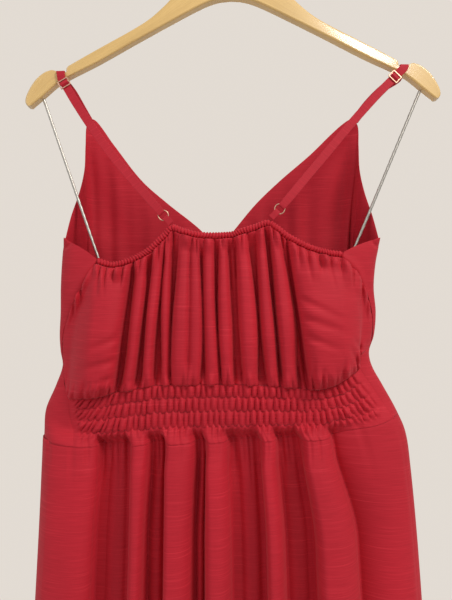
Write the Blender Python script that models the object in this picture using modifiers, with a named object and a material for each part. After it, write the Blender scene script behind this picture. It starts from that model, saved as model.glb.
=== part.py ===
"""Maxi dress hanging by its straps from a wooden hanger.

The garment's back faces -Y and its front faces +Y. The origin is the inner top of the
hanger's hook, where a rail would carry it. Lengths are metres, and "drop" is always the
distance straight down from that point.
"""
import math
from bisect import bisect_right
from collections import namedtuple

import bmesh
import bpy
from mathutils import Matrix, Vector

# Cloth
CLOTH = 0.0012
SEAM = 0.0003
BEND = 3.2
BACK = -1
FRONT = 1

# The dress hangs in these level sections: its two side edges, and how far its back and
# its front stand off the hanger's plane
Section = namedtuple("Section", "drop left right back front")
SECTIONS = [
    Section(0.335, -0.174, 0.160, 0.028, 0.040),
    Section(0.362, -0.175, 0.160, 0.030, 0.042),
    Section(0.390, -0.177, 0.155, 0.032, 0.044),
    Section(0.415, -0.178, 0.153, 0.034, 0.045),
    Section(0.441, -0.178, 0.155, 0.036, 0.045),
    Section(0.465, -0.179, 0.153, 0.036, 0.043),
    Section(0.482, -0.178, 0.148, 0.035, 0.041),
    Section(0.497, -0.176, 0.151, 0.034, 0.039),
    Section(0.517, -0.183, 0.162, 0.034, 0.038),
    Section(0.542, -0.194, 0.176, 0.034, 0.038),
    Section(0.565, -0.196, 0.186, 0.035, 0.039),
    Section(0.600, -0.197, 0.191, 0.038, 0.042),
    Section(0.680, -0.200, 0.198, 0.044, 0.048),
    Section(0.800, -0.206, 0.206, 0.050, 0.054),
    Section(1.100, -0.224, 0.226, 0.058, 0.062),
    Section(1.350, -0.242, 0.245, 0.063, 0.067),
    Section(1.580, -0.260, 0.262, 0.068, 0.072),
]
HEM_DROP = 1.580

# Back neckline, along the upper edge of the elastic casing
Point = namedtuple("Point", "x drop")
NECKLINE = [
    Point(-0.1343, 0.3850),
    Point(-0.1175, 0.3890),
    Point(-0.0992, 0.3836),
    Point(-0.0823, 0.3740),
    Point(-0.0680, 0.3600),
    Point(-0.0588, 0.3515),
    Point(-0.0472, 0.3546),
    Point(-0.0302, 0.3588),
    Point(-0.0002, 0.3586),
    Point(0.0120, 0.3550),
    Point(0.0249, 0.3510),
    Point(0.0400, 0.3465),
    Point(0.0500, 0.3520),
    Point(0.0610, 0.3603),
    Point(0.0807, 0.3707),
    Point(0.1003, 0.3765),
    Point(0.1146, 0.3784),
]
CASING_RADIUS = 0.0027
CASING_GATHERS = 50
CASING_DRAW = 0.78
CASING_SEAM = 0.0004

# Seam between the gathered back and the shirred waist, then the seam to the skirt
WAIST_TOP = [
    Point(-0.1645, 0.5280),
    Point(-0.1369, 0.5262),
    Point(-0.1196, 0.5218),
    Point(-0.0960, 0.5178),
    Point(-0.0757, 0.5140),
    Point(-0.0033, 0.5127),
    Point(0.0559, 0.5150),
    Point(0.0865, 0.5180),
    Point(0.1079, 0.5132),
    Point(0.1201, 0.5060),
    Point(0.1340, 0.4970),
]
WAIST_SEAM = [
    Point(-0.1965, 0.5730),
    Point(-0.1645, 0.5757),
    Point(-0.1257, 0.5760),
    Point(-0.0730, 0.5730),
    Point(0.0624, 0.5690),
    Point(0.1017, 0.5670),
    Point(0.1180, 0.5615),
    Point(0.1528, 0.5550),
    Point(0.1780, 0.5462),
]
FRONT_SEAM_LEFT = 0.573
FRONT_SEAM_RIGHT = 0.546
FRONT_WAIST_TOP = 0.497

# Seams at the sides of the back, from the waist up to the ends of the casing, and the
# ends of the waist seam between them and the shirred panel
SIDE_SEAM_LEFT = [
    Point(-0.1735, 0.4960),
    Point(-0.1716, 0.4600),
    Point(-0.1620, 0.4360),
    Point(-0.1500, 0.4140),
    Point(-0.1365, 0.3918),
]
SIDE_SEAM_RIGHT = [
    Point(0.1467, 0.4785),
    Point(0.1485, 0.4470),
    Point(0.1425, 0.4230),
    Point(0.1330, 0.4030),
    Point(0.1155, 0.3862),
]
WAIST_END_LEFT = [
    Point(-0.1735, 0.4960),
    Point(-0.1700, 0.5145),
    Point(-0.1645, 0.5280),
]
WAIST_END_RIGHT = [
    Point(0.1467, 0.4785),
    Point(0.1360, 0.4838),
    Point(0.1340, 0.4970),
]
SEAM_SIDE_GAP = 0.00045

# The gathered back. A column of its cloth runs from the neckline down to the waist, and
# it is named by where it lies across the dress half way down.
Edge = namedtuple("Edge", "column x drop")
BACK_TOP_LEFT = [
    Edge(-0.118, -0.1165, 0.3950),
    Edge(-0.104, -0.0990, 0.3893),
]
BACK_TOP_RIGHT = [
    Edge(0.068, 0.0600, 0.3655),
    Edge(0.084, 0.0810, 0.3764),
    Edge(0.100, 0.1000, 0.3820),
]
BACK_LOW_LEFT = [
    Edge(-0.144, -0.1520, 0.5276),
    Edge(-0.133, -0.1400, 0.5265),
    Edge(-0.118, -0.1280, 0.5240),
    Edge(-0.104, -0.1170, 0.5208),
]
BACK_LOW_RIGHT = [
    Edge(0.068, 0.0820, 0.5176),
    Edge(0.084, 0.0960, 0.5164),
    Edge(0.100, 0.1110, 0.5118),
    Edge(0.112, 0.1230, 0.5042),
]
LEFT_COLUMNS = [-0.172, -0.166, -0.155, -0.144]
RIGHT_COLUMNS = [0.112, 0.124, 0.136, 0.146]
GATHER_MIDDLE = -0.012
NECK_SPREAD = 0.90
WAIST_SPREAD = 1.12

# Folds of the back between neckline and waist: middle, half width and height of each
Fold = namedtuple("Fold", "x half lift")
BODICE_FOLDS = [
    Fold(-0.0930, 0.0052, 0.0100),
    Fold(-0.0750, 0.0044, 0.0085),
    Fold(-0.0615, 0.0030, 0.0070),
    Fold(-0.0430, 0.0105, 0.0110),
    Fold(-0.0200, 0.0045, 0.0080),
    Fold(-0.0040, 0.0042, 0.0085),
    Fold(0.0155, 0.0058, 0.0095),
    Fold(0.0365, 0.0042, 0.0090),
    Fold(0.0535, 0.0070, 0.0110),
]
Lift = namedtuple("Lift", "x lift")
LEFT_PUFF = [
    Lift(-0.172, 0.000),
    Lift(-0.166, 0.007),
    Lift(-0.155, 0.013),
    Lift(-0.144, 0.017),
    Lift(-0.133, 0.019),
    Lift(-0.118, 0.018),
    Lift(-0.108, 0.013),
    Lift(-0.103, 0.003),
]
RIGHT_PUFF = [
    Lift(0.065, 0.003),
    Lift(0.070, 0.013),
    Lift(0.084, 0.018),
    Lift(0.100, 0.019),
    Lift(0.112, 0.017),
    Lift(0.124, 0.014),
    Lift(0.136, 0.008),
    Lift(0.146, 0.000),
]
Rise = namedtuple("Rise", "share height")
BODICE_RISE = [
    Rise(0.00, 0.10),
    Rise(0.08, 0.42),
    Rise(0.20, 0.72),
    Rise(0.50, 1.00),
    Rise(0.80, 1.05),
    Rise(0.93, 0.75),
    Rise(1.00, 0.12),
]

# Shirred waist: puckers between rows of elastic thread
PUCKERS = 46
PUCKER_LIFT = 0.0030
SHIRRED_LEFT = (-0.1645, -0.1560)
SHIRRED_RIGHT = (0.1340, 0.1690)
Row = namedtuple("Row", "share puff")
SHIRRED_ROWS = [
    Row(0.00, 0.15),
    Row(0.12, 1.00),
    Row(0.24, 0.12),
    Row(0.36, 1.00),
    Row(0.48, 0.12),
    Row(0.60, 1.00),
    Row(0.72, 0.12),
    Row(0.86, 0.75),
    Row(1.00, 0.20),
]

# Folds of the skirt, from left to right, at SKIRT_FOLD_DROP below the origin
SKIRT_FOLD_DROP = 0.630
SKIRT_SEAM = 0.0006
BACK_SKIRT_FOLDS = [
    Lift(-0.1980, 0.000),
    Lift(-0.1900, 0.004),
    Lift(-0.1750, 0.010),
    Lift(-0.1550, 0.013),
    Lift(-0.1400, 0.010),
    Lift(-0.1320, 0.000),
    Lift(-0.1200, -0.003),
    Lift(-0.1120, 0.000),
    Lift(-0.1040, -0.003),
    Lift(-0.0990, 0.007),
    Lift(-0.0880, 0.008),
    Lift(-0.0830, -0.002),
    Lift(-0.0690, -0.005),
    Lift(-0.0630, 0.009),
    Lift(-0.0420, 0.011),
    Lift(-0.0350, 0.000),
    Lift(-0.0280, -0.003),
    Lift(-0.0230, 0.008),
    Lift(-0.0020, 0.010),
    Lift(0.0050, 0.000),
    Lift(0.0140, -0.003),
    Lift(0.0220, 0.002),
    Lift(0.0300, -0.002),
    Lift(0.0370, -0.009),
    Lift(0.0400, 0.007),
    Lift(0.0550, 0.009),
    Lift(0.0610, -0.003),
    Lift(0.0820, -0.010),
    Lift(0.0880, 0.009),
    Lift(0.1050, 0.013),
    Lift(0.1220, 0.011),
    Lift(0.1300, 0.003),
    Lift(0.1500, 0.000),
    Lift(0.1680, -0.003),
    Lift(0.1760, 0.004),
    Lift(0.1850, 0.003),
    Lift(0.1945, 0.000),
]
FRONT_SKIRT_FOLDS = [
    Lift(-0.1980, 0.000),
    Lift(-0.1880, 0.003),
    Lift(-0.1700, 0.009),
    Lift(-0.1520, 0.010),
    Lift(-0.1400, -0.002),
    Lift(-0.1250, -0.003),
    Lift(-0.1150, 0.009),
    Lift(-0.0950, 0.010),
    Lift(-0.0850, -0.003),
    Lift(-0.0700, -0.004),
    Lift(-0.0600, 0.010),
    Lift(-0.0350, 0.011),
    Lift(-0.0250, -0.003),
    Lift(-0.0100, -0.004),
    Lift(0.0000, 0.010),
    Lift(0.0200, 0.011),
    Lift(0.0300, -0.003),
    Lift(0.0470, -0.004),
    Lift(0.0570, 0.009),
    Lift(0.0770, 0.010),
    Lift(0.0880, -0.003),
    Lift(0.1050, -0.004),
    Lift(0.1150, 0.009),
    Lift(0.1350, 0.010),
    Lift(0.1460, -0.002),
    Lift(0.1600, -0.001),
    Lift(0.1720, 0.006),
    Lift(0.1850, 0.003),
    Lift(0.1945, 0.000),
]
SKIRT_RISE = [
    Rise(0.000, 0.12),
    Rise(0.012, 0.60),
    Rise(0.030, 0.85),
    Rise(0.065, 1.00),
    Rise(0.130, 1.10),
    Rise(0.230, 1.20),
    Rise(0.360, 1.35),
    Rise(0.520, 1.50),
    Rise(0.680, 1.65),
    Rise(0.840, 1.80),
    Rise(1.000, 1.90),
]

# V-neck front. The upper edge of each half runs from the foot of the V up to the strap,
# down the armhole and round to the back; the lower edge is the seam it hangs from.
FrontEdge = namedtuple("FrontEdge", "share x y drop")
FRONT_TOP_LEFT = [
    FrontEdge(0.00, -0.0115, 0.0410, 0.3700),
    FrontEdge(0.08, -0.0350, 0.0390, 0.3460),
    FrontEdge(0.19, -0.0688, 0.0350, 0.3195),
    FrontEdge(0.29, -0.0985, 0.0300, 0.2936),
    FrontEdge(0.41, -0.1282, 0.0210, 0.2556),
    FrontEdge(0.48, -0.1470, 0.0150, 0.2310),
    FrontEdge(0.52, -0.1552, 0.0125, 0.2370),
    FrontEdge(0.56, -0.1562, 0.0105, 0.2600),
    FrontEdge(0.62, -0.1568, 0.0080, 0.2870),
    FrontEdge(0.68, -0.1615, 0.0050, 0.3120),
    FrontEdge(0.74, -0.1695, 0.0020, 0.3380),
    FrontEdge(0.80, -0.1750, 0.0000, 0.3620),
]
FRONT_TOP_RIGHT = [
    FrontEdge(0.00, -0.0112, 0.0410, 0.3700),
    FrontEdge(0.08, 0.0081, 0.0395, 0.3460),
    FrontEdge(0.17, 0.0307, 0.0360, 0.3193),
    FrontEdge(0.27, 0.0585, 0.0310, 0.2932),
    FrontEdge(0.37, 0.0890, 0.0245, 0.2679),
    FrontEdge(0.48, 0.1300, 0.0150, 0.2315),
    FrontEdge(0.52, 0.1402, 0.0125, 0.2370),
    FrontEdge(0.56, 0.1410, 0.0105, 0.2600),
    FrontEdge(0.62, 0.1416, 0.0080, 0.2870),
    FrontEdge(0.68, 0.1462, 0.0050, 0.3120),
    FrontEdge(0.74, 0.1540, 0.0020, 0.3380),
    FrontEdge(0.80, 0.1600, 0.0000, 0.3620),
]
FLAP_TOP_LEFT = [
    Point(-0.1710, 0.3640),
    Point(-0.1645, 0.3680),
    Point(-0.1549, 0.3725),
    Point(-0.1449, 0.3785),
    Point(-0.1365, 0.3850),
]
FLAP_TOP_RIGHT = [
    Point(0.1555, 0.3635),
    Point(0.1477, 0.3660),
    Point(0.1380, 0.3690),
    Point(0.1270, 0.3735),
    Point(0.1172, 0.3785),
]
FLAP_COLUMNS = [0.84, 0.88, 0.92, 0.96, 1.0]
SIDE_SHARE = 0.80
CENTRE_FRONT = -0.0113
FRONT_GATHER_LIFT = 0.0025
FRONT_GATHERS = 5

# Straps, sliders and rings
STRAP_WIDTH = 0.0086
STRAP_THICKNESS = 0.0009
RING_RADIUS = 0.0051
RING_WIRE = 0.00055
SLIDER_PITCH = 0.0042
SLIDER_BAR = 0.0012
SLIDER_SIDE = 0.0012
SLIDER_THICKNESS = 0.0012
TAB_WIDTH = 0.0070
TURN_RADIUS = 0.0014
TURN_STEPS = 4
STRAP_TURN_PLACE = 0.0036
TAB_TURN_PLACE = 0.0038
STRAP_STEP = 0.012
STRAP_DOUBLED = 0.0019
AWAY = Vector((0.0, 1.0, 0.0))
SLIDER_WEAVE = [
    (-0.0068, 0.0011),
    (-0.0052, 0.00135),
    (-0.0032, 0.00135),
    (-0.00095, -0.00135),
    (0.00095, -0.00135),
    (0.0032, 0.00135),
    (0.0052, 0.00135),
    (0.0100, 0.0006),
]
SLIDER_RETURN = [
    (0.0100, 0.0027),
    (0.0052, 0.0030),
    (0.0032, 0.0030),
    (0.0012, 0.0019),
    (0.0003, 0.0016),
]
Way = namedtuple("Way", "x y drop")
LEFT_STRAP_FRONT = [
    Way(-0.1525, 0.0137, 0.2333),
    Way(-0.1600, 0.0120, 0.2200),
    Way(-0.1690, 0.0098, 0.2040),
]
LEFT_STRAP_BACK = [
    Way(-0.1611, -0.0135, 0.2205),
    Way(-0.1448, -0.0172, 0.2455),
    Way(-0.1234, -0.0216, 0.2752),
    Way(-0.1022, -0.0265, 0.3015),
    Way(-0.0812, -0.0300, 0.3255),
]
LEFT_SLIDER = Way(-0.1736, -0.0098, 0.1999)
LEFT_RING = Way(-0.0670, -0.0300, 0.3420)
LEFT_TAB = Way(-0.0590, -0.0300, 0.3505)
RIGHT_STRAP_FRONT = [
    Way(0.1373, 0.0136, 0.2320),
    Way(0.1520, 0.0118, 0.2130),
    Way(0.1680, 0.0098, 0.1975),
]
RIGHT_STRAP_BACK = [
    Way(0.1524, -0.0140, 0.2159),
    Way(0.1257, -0.0175, 0.2460),
    Way(0.0992, -0.0218, 0.2780),
    Way(0.0800, -0.0262, 0.3010),
    Way(0.0640, -0.0300, 0.3205),
]
RIGHT_SLIDER = Way(0.1745, -0.0098, 0.1930)
RIGHT_RING = Way(0.0513, -0.0300, 0.3355)
RIGHT_TAB = Way(0.0424, -0.0300, 0.3449)

# Hanger: half of its outline from the middle out, before it is tilted
TILT = math.radians(1.1)
WOOD_THICKNESS = 0.012
WOOD_EDGE = 0.0018
HANGER_TOP = [
    Point(0.0000, 0.0680),
    Point(0.0140, 0.0690),
    Point(0.0260, 0.0740),
    Point(0.0400, 0.0850),
    Point(0.0520, 0.0970),
    Point(0.0635, 0.1070),
    Point(0.0700, 0.1136),
    Point(0.0860, 0.1273),
    Point(0.1050, 0.1390),
    Point(0.1300, 0.1523),
    Point(0.1550, 0.1657),
    Point(0.1745, 0.1765),
]
HANGER_NOTCH = [
    Point(0.1762, 0.1785),
    Point(0.1766, 0.1826),
    Point(0.1772, 0.1835),
    Point(0.1868, 0.1835),
    Point(0.1876, 0.1826),
    Point(0.1884, 0.1810),
]
HANGER_END = [
    Point(0.1920, 0.1800),
    Point(0.1990, 0.1822),
    Point(0.2075, 0.1885),
    Point(0.2130, 0.1952),
    Point(0.2170, 0.2020),
    Point(0.2198, 0.2085),
    Point(0.2205, 0.2140),
    Point(0.2185, 0.2178),
    Point(0.2145, 0.2180),
]
HANGER_UNDERSIDE = [
    Point(0.2020, 0.2080),
    Point(0.1840, 0.1935),
    Point(0.1410, 0.1720),
    Point(0.1000, 0.1500),
    Point(0.0620, 0.1300),
    Point(0.0300, 0.1140),
    Point(0.0140, 0.1085),
    Point(0.0000, 0.1070),
]
HOOK_WIRE = 0.0019
HOOK_INNER_RADIUS = 0.018
HOOK_OPENING_ANGLE = math.radians(205)
HOOK_END_ANGLE = math.radians(-58)
HOOK_STEPS = 20
BAR_WIRE = 0.00165
BAR_BEND = 0.010
BAR_TOP_LEFT = Way(-0.1980, 0.0, 0.2134)
BAR_LOW_LEFT = Way(-0.1330, 0.0, 0.4030)
BAR_LOW_RIGHT = Way(0.1235, 0.0, 0.3980)
BAR_TOP_RIGHT = Way(0.2040, 0.0, 0.2042)

# Finishes
CORAL = (0.50, 0.030, 0.050)
STRAP_CORAL = (0.46, 0.026, 0.046)
PALE_WOOD = (0.72, 0.50, 0.24)
ROSE_GOLD = (0.80, 0.45, 0.30)
STEEL = (0.62, 0.60, 0.57)


def clear_scene():
    """Removes whatever the scene holds."""
    for item in list(bpy.data.objects):
        bpy.data.objects.remove(item, do_unlink=True)


def new_finish(name, colour, roughness, metallic=0.0):
    """Plain Principled material."""
    finish = bpy.data.materials.new(name)
    finish.use_nodes = True
    shader = finish.node_tree.nodes["Principled BSDF"]
    shader.inputs["Base Color"].default_value = (*colour, 1.0)
    shader.inputs["Roughness"].default_value = roughness
    shader.inputs["Metallic"].default_value = metallic
    return finish


def add_piece(name, mesh, finish):
    """Puts a mesh in the dress's collection as a named piece with its own material."""
    piece = bpy.data.objects.new(name, mesh)
    piece.data.materials.clear()
    piece.data.materials.append(finish)
    bpy.data.collections["maxi_dress"].objects.link(piece)
    return piece


def curve_value(rows, key, column, place):
    """Value of one column at a place along the key column, on a smooth curve through the rows."""
    keys = [getattr(row, key) for row in rows]
    values = [getattr(row, column) for row in rows]
    place = min(max(place, keys[0]), keys[-1])
    index = min(bisect_right(keys, place) - 1, len(rows) - 2)
    step = keys[index + 1] - keys[index]
    share = (place - keys[index]) / step

    def slope(at):
        low = max(at - 1, 0)
        high = min(at + 1, len(rows) - 1)
        return (values[high] - values[low]) / (keys[high] - keys[low]) * step

    rise = values[index + 1] - values[index]
    start = slope(index)
    end = slope(index + 1)
    bend = share * share * (3.0 - 2.0 * share)
    swing = share * (1.0 - share) ** 2 * start - share ** 2 * (1.0 - share) * end
    return values[index] + rise * bend + swing


def eased_value(rows, key, column, place):
    """Value of one column, level at each row and eased between two rows, so it never overshoots."""
    keys = [getattr(row, key) for row in rows]
    values = [getattr(row, column) for row in rows]
    place = min(max(place, keys[0]), keys[-1])
    index = min(bisect_right(keys, place) - 1, len(rows) - 2)
    share = (place - keys[index]) / (keys[index + 1] - keys[index])
    return values[index] + (values[index + 1] - values[index]) * (1.0 - math.cos(math.pi * share)) / 2.0


def mix(start, end, share):
    """Point or number that lies a share of the way from start to end."""
    return start + (end - start) * share


def section_middle(drop):
    """Middle and half width of the dress at a level."""
    left = curve_value(SECTIONS, "drop", "left", drop)
    right = curve_value(SECTIONS, "drop", "right", drop)
    return (left + right) / 2.0, (right - left) / 2.0


def body_depth(x, drop, side, lift=0.0):
    """How far the cloth stands off the hanger's plane, rounded towards the side edges."""
    middle, half = section_middle(drop)
    across = min(abs((x - middle) / half), 1.0)
    column = "back" if side == BACK else "front"
    depth = curve_value(SECTIONS, "drop", column, drop)
    round_off = (1.0 - across ** BEND) ** (1.0 / BEND)
    return side * (depth * round_off + lift * min(1.0, 1.6 * round_off) + SEAM / 2.0)


def body_point(x, drop, side, lift=0.0):
    """Point of the body's surface."""
    return Vector((x, body_depth(x, drop, side, lift), -drop))


def across_to_x(across, drop):
    """Place across the dress, -1 at its left edge and 1 at its right edge, as a length."""
    middle, half = section_middle(drop)
    return middle + half * across


def across_of(x, drop):
    """Place across the dress of a point, -1 at the left edge and 1 at the right edge."""
    middle, half = section_middle(drop)
    return (x - middle) / half


def back_between(top, low, row, shift, gap):
    """Point of the back, a share of the way down from one seam point to another."""
    across = mix(across_of(top.x, top.drop), across_of(low.x, low.drop), row)
    drop = mix(top.drop + gap, low.drop - gap, row)
    return body_point(across_to_x(across, drop) + shift, drop, BACK)


def make_cloth(name, columns, rows, surface, finish, relief=None):
    """Cloth wall: surface(column, row) is its outer face, and relief raises that face alone."""
    return make_wall(name, columns, rows, surface, finish, relief, CLOTH, True)


def make_wall(name, columns, rows, surface, finish, relief, thickness, level):
    """Closed wall whose outer face is a grid on surface(column, row), moved out by relief."""
    mesh = bmesh.new()
    bmesh.ops.create_grid(mesh, x_segments=len(columns) - 1, y_segments=len(rows) - 1, size=0.5)
    place = mesh.verts.layers.int.new("place")
    raised = []
    for vert in mesh.verts:
        column = columns[round((vert.co.x + 0.5) * (len(columns) - 1))]
        row = rows[round((vert.co.y + 0.5) * (len(rows) - 1))]
        vert[place] = len(raised)
        raised.append(relief(column, row) if relief else 0.0)
        vert.co = surface(column, row)
    mesh.normal_update()
    outer = {}
    inner = {}
    for vert in mesh.verts:
        way = vert.normal.copy()
        if level:
            way.z = 0.0
        way.normalize()
        outer[vert[place]] = vert.co + way * raised[vert[place]]
        inner[vert[place]] = vert.co - way * thickness
    made = bmesh.ops.extrude_face_region(mesh, geom=mesh.faces[:], use_keep_orig=True)
    for item in made["geom"]:
        if isinstance(item, bmesh.types.BMVert):
            item.co = inner[item[place]]
    moved = {item for item in made["geom"] if isinstance(item, bmesh.types.BMVert)}
    for vert in mesh.verts:
        if vert not in moved:
            vert.co = outer[vert[place]]
    bmesh.ops.recalc_face_normals(mesh, faces=mesh.faces[:])
    data = bpy.data.meshes.new(name)
    mesh.to_mesh(data)
    mesh.free()
    data.shade_smooth()
    data.set_sharp_from_angle(angle=math.radians(50))
    return add_piece(name, data, finish)


def make_wire(name, points, radius, finish, sides=2, swells=None, closed=False):
    """Wire or cord through the points, with filled ends; swells scale its radius point by point."""
    path = bpy.data.curves.new(name, "CURVE")
    path.dimensions = "3D"
    path.bevel_depth = radius
    path.bevel_resolution = sides
    path.use_fill_caps = not closed
    spline = path.splines.new("POLY")
    spline.points.add(len(points) - 1)
    spline.use_cyclic_u = closed
    for index, point in enumerate(points):
        spline.points[index].co = (*point, 1.0)
        if swells:
            spline.points[index].radius = swells[index]
    path.materials.append(finish)
    wire = bpy.data.objects.new(name, path)
    bpy.data.collections["maxi_dress"].objects.link(wire)
    return wire


# Edges that pieces share
def neckline_drop(x):
    """Level of the back neckline's upper edge."""
    return curve_value(NECKLINE, "x", "drop", x)


def casing_reach(x):
    """Half the casing's height measured straight down, more where the neckline slopes."""
    step = 0.002
    slope = (neckline_drop(x + step) - neckline_drop(x - step)) / (2.0 * step)
    return CASING_RADIUS * math.hypot(1.0, slope)


def under_casing(x):
    """Level of the cloth's upper edge below the casing."""
    return neckline_drop(x) + 2.0 * casing_reach(x) + CASING_SEAM


def gathered_edge(column, left_rows, right_rows, spread, level_at):
    """Upper or lower end of a column of the gathered back: its place and its level."""
    if column <= left_rows[-1].column:
        return edge_value(left_rows, column)
    if column >= right_rows[0].column:
        return edge_value(right_rows, column)
    start = left_rows[-1]
    end = right_rows[0]
    share = (column - start.column) / (end.column - start.column)
    drift_left = start.x - (GATHER_MIDDLE + (start.column - GATHER_MIDDLE) * spread)
    drift_right = end.x - (GATHER_MIDDLE + (end.column - GATHER_MIDDLE) * spread)
    x = GATHER_MIDDLE + (column - GATHER_MIDDLE) * spread + mix(drift_left, drift_right, share)
    return x, level_at(x)


def edge_value(rows, column):
    """Place and level of a column in a table of edge rows."""
    return curve_value(rows, "column", "x", column), curve_value(rows, "column", "drop", column)


def beside(seam, columns, inward):
    """Edge rows of the back's columns that start on a seam, a gap to one side of it."""
    return [Edge(column, point.x + inward * SEAM_SIDE_GAP, point.drop) for column, point in zip(columns, seam)]


def bodice_top(column):
    """Where a column of the back starts, under the casing or along the side seam."""
    left = beside(SIDE_SEAM_LEFT[1:], LEFT_COLUMNS, 1) + BACK_TOP_LEFT
    right = BACK_TOP_RIGHT + beside(SIDE_SEAM_RIGHT[:0:-1], RIGHT_COLUMNS, -1)
    x, drop = gathered_edge(column, left, right, NECK_SPREAD, under_casing)
    if NECKLINE[0].x - CASING_RADIUS < x < NECKLINE[-1].x + CASING_RADIUS:
        drop = max(drop, under_casing(x))
    return x, drop


def bodice_low(column):
    """Where a column of the back ends, at the waist."""
    left = beside(WAIST_END_LEFT, LEFT_COLUMNS, 1) + BACK_LOW_LEFT
    right = BACK_LOW_RIGHT + beside(WAIST_END_RIGHT[::-1], RIGHT_COLUMNS[1:], -1)
    x, drop = gathered_edge(column, left, right, WAIST_SPREAD, waist_top_drop)
    if WAIST_TOP[0].x < x < WAIST_TOP[-1].x:
        drop = min(drop, waist_top_drop(x))
    return x, drop - SEAM


def waist_top_drop(x):
    """Level of the seam between the gathered back and the shirred waist."""
    return curve_value(WAIST_TOP, "x", "drop", x)


def fold_stations(folds):
    """Foot, shoulders and foot of each fold in turn, as places with their lift."""
    stations = []
    for index, fold in enumerate(folds):
        stations.append(Lift(fold.x - 0.62 * fold.half, fold.lift))
        if fold.half > 0.004:
            stations.append(Lift(fold.x + 0.62 * fold.half, fold.lift * 0.94))
        if index + 1 < len(folds):
            after = folds[index + 1]
            valley = (fold.x + fold.half + after.x - after.half) / 2.0
            stations.append(Lift(valley, 0.0005))
    return stations


BODICE_LIFTS = LEFT_PUFF + fold_stations(BODICE_FOLDS) + RIGHT_PUFF


def make_back_bodice(finish):
    """Gathered back between the casing and the shirred waist, with a loose puff at each side."""
    columns = [row.x for row in BODICE_LIFTS]
    rows = [1.0, 0.96, 0.90, 0.80, 0.65, 0.48, 0.32, 0.18, 0.08, 0.0]

    def surface(column, row):
        top_x, top_drop = bodice_top(column)
        low_x, low_drop = bodice_low(column)
        x = mix(top_x, low_x, row)
        drop = mix(top_drop, low_drop, row)
        lift = eased_value(BODICE_LIFTS, "x", "lift", column)
        lift *= curve_value(BODICE_RISE, "share", "height", row)
        return body_point(x, drop, BACK, lift)

    return make_cloth("back_bodice", columns, rows, surface, finish)


def make_casing(finish):
    """Gathered elastic casing along the back neckline."""
    start = NECKLINE[0].x
    end = NECKLINE[-1].x
    steps = 2 * CASING_GATHERS
    points = []
    swells = []
    for step in range(steps + 1):
        x = mix(start, end, step / steps)
        drop = neckline_drop(x) + casing_reach(x)
        points.append(body_point(x, drop, BACK, -CLOTH / 2.0))
        swells.append(1.0 if step % 2 else CASING_DRAW)
    return make_wire("back_casing", points, CASING_RADIUS, finish, sides=1, swells=swells)


def shirred_point(column, row):
    """Point of the plain surface under the shirring; column and row run from 0 to 1."""
    top_x = mix(SHIRRED_LEFT[0], SHIRRED_RIGHT[0], column)
    low_x = mix(SHIRRED_LEFT[1], SHIRRED_RIGHT[1], column)
    top = waist_top_drop(top_x) + SEAM
    low = curve_value(WAIST_SEAM, "x", "drop", low_x) - SEAM
    x = mix(top_x, low_x, row)
    return body_point(x, mix(top, low, row), BACK)


def make_back_waist(finish):
    """Shirred waist panel: puckers stand proud of its outer face between four drawn rows."""
    steps = 2 * PUCKERS
    columns = [step / steps for step in range(steps + 1)]
    rows = [row.share for row in reversed(SHIRRED_ROWS)]

    def relief(column, row):
        puff = curve_value(SHIRRED_ROWS, "share", "puff", row)
        inside = 1.0 if 0.0 < column < 1.0 else 0.0
        ridge = round(column * steps) % 2
        return PUCKER_LIFT * inside * puff * (1.0 if ridge else 0.1)

    return make_cloth("back_waist", columns, rows, shirred_point, finish, relief=relief)


def front_seam_drop(x):
    """Level of the seam between the front waist panel and the front skirt."""
    left = WAIST_SEAM[0].x
    right = WAIST_SEAM[-1].x
    share = min(max((x - left) / (right - left), 0.0), 1.0)
    sag = 0.012 * math.sin(math.pi * share)
    return mix(FRONT_SEAM_LEFT, FRONT_SEAM_RIGHT, share) + sag


FRONT_WAIST_TOP_LEFT = 0.4960
FRONT_WAIST_TOP_RIGHT = 0.4785


def make_front_waist(finish):
    """Plain front waist panel, which wraps round both sides to the shirred back."""
    left_low = [Point(-0.1835, 0.5735), Point(-0.1690, 0.5745), Point(SHIRRED_LEFT[1], 0.5757)]
    right_low = [Point(0.1765, 0.5465), Point(0.1735, 0.5475), Point(SHIRRED_RIGHT[1], 0.5490)]
    wraps = {}
    for index in range(3):
        wraps[0.04 - 0.02 * index] = (WAIST_END_LEFT[index], left_low[index], -SEAM_SIDE_GAP)
        wraps[0.96 + 0.02 * index] = (WAIST_END_RIGHT[index], right_low[index], SEAM_SIDE_GAP)
    front_steps = 22
    columns = list(wraps)
    columns += [0.05 + 0.90 * step / front_steps for step in range(front_steps + 1)]
    columns.sort()
    rows = [1.0, 0.75, 0.5, 0.25, 0.0]

    def surface(column, row):
        if column in wraps:
            top, low, shift = wraps[column]
            return back_between(top, low, row, shift, SEAM)
        share = (column - 0.05) / 0.90
        across = -math.cos(math.pi * share)
        low = front_seam_drop(across_to_x(across, FRONT_SEAM_LEFT)) - SEAM
        drop = mix(front_waist_drop(across) + SEAM, low, row)
        return body_point(across_to_x(across, drop), drop, FRONT)

    return make_cloth("front_waist", columns, rows, surface, finish)


def front_waist_drop(across):
    """Level of the front bodice's lower edge at a place across the front."""
    share = math.acos(-across) / math.pi
    return mix(FRONT_WAIST_TOP_LEFT, FRONT_WAIST_TOP_RIGHT, share) + 0.010 * math.sin(math.pi * share)


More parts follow.
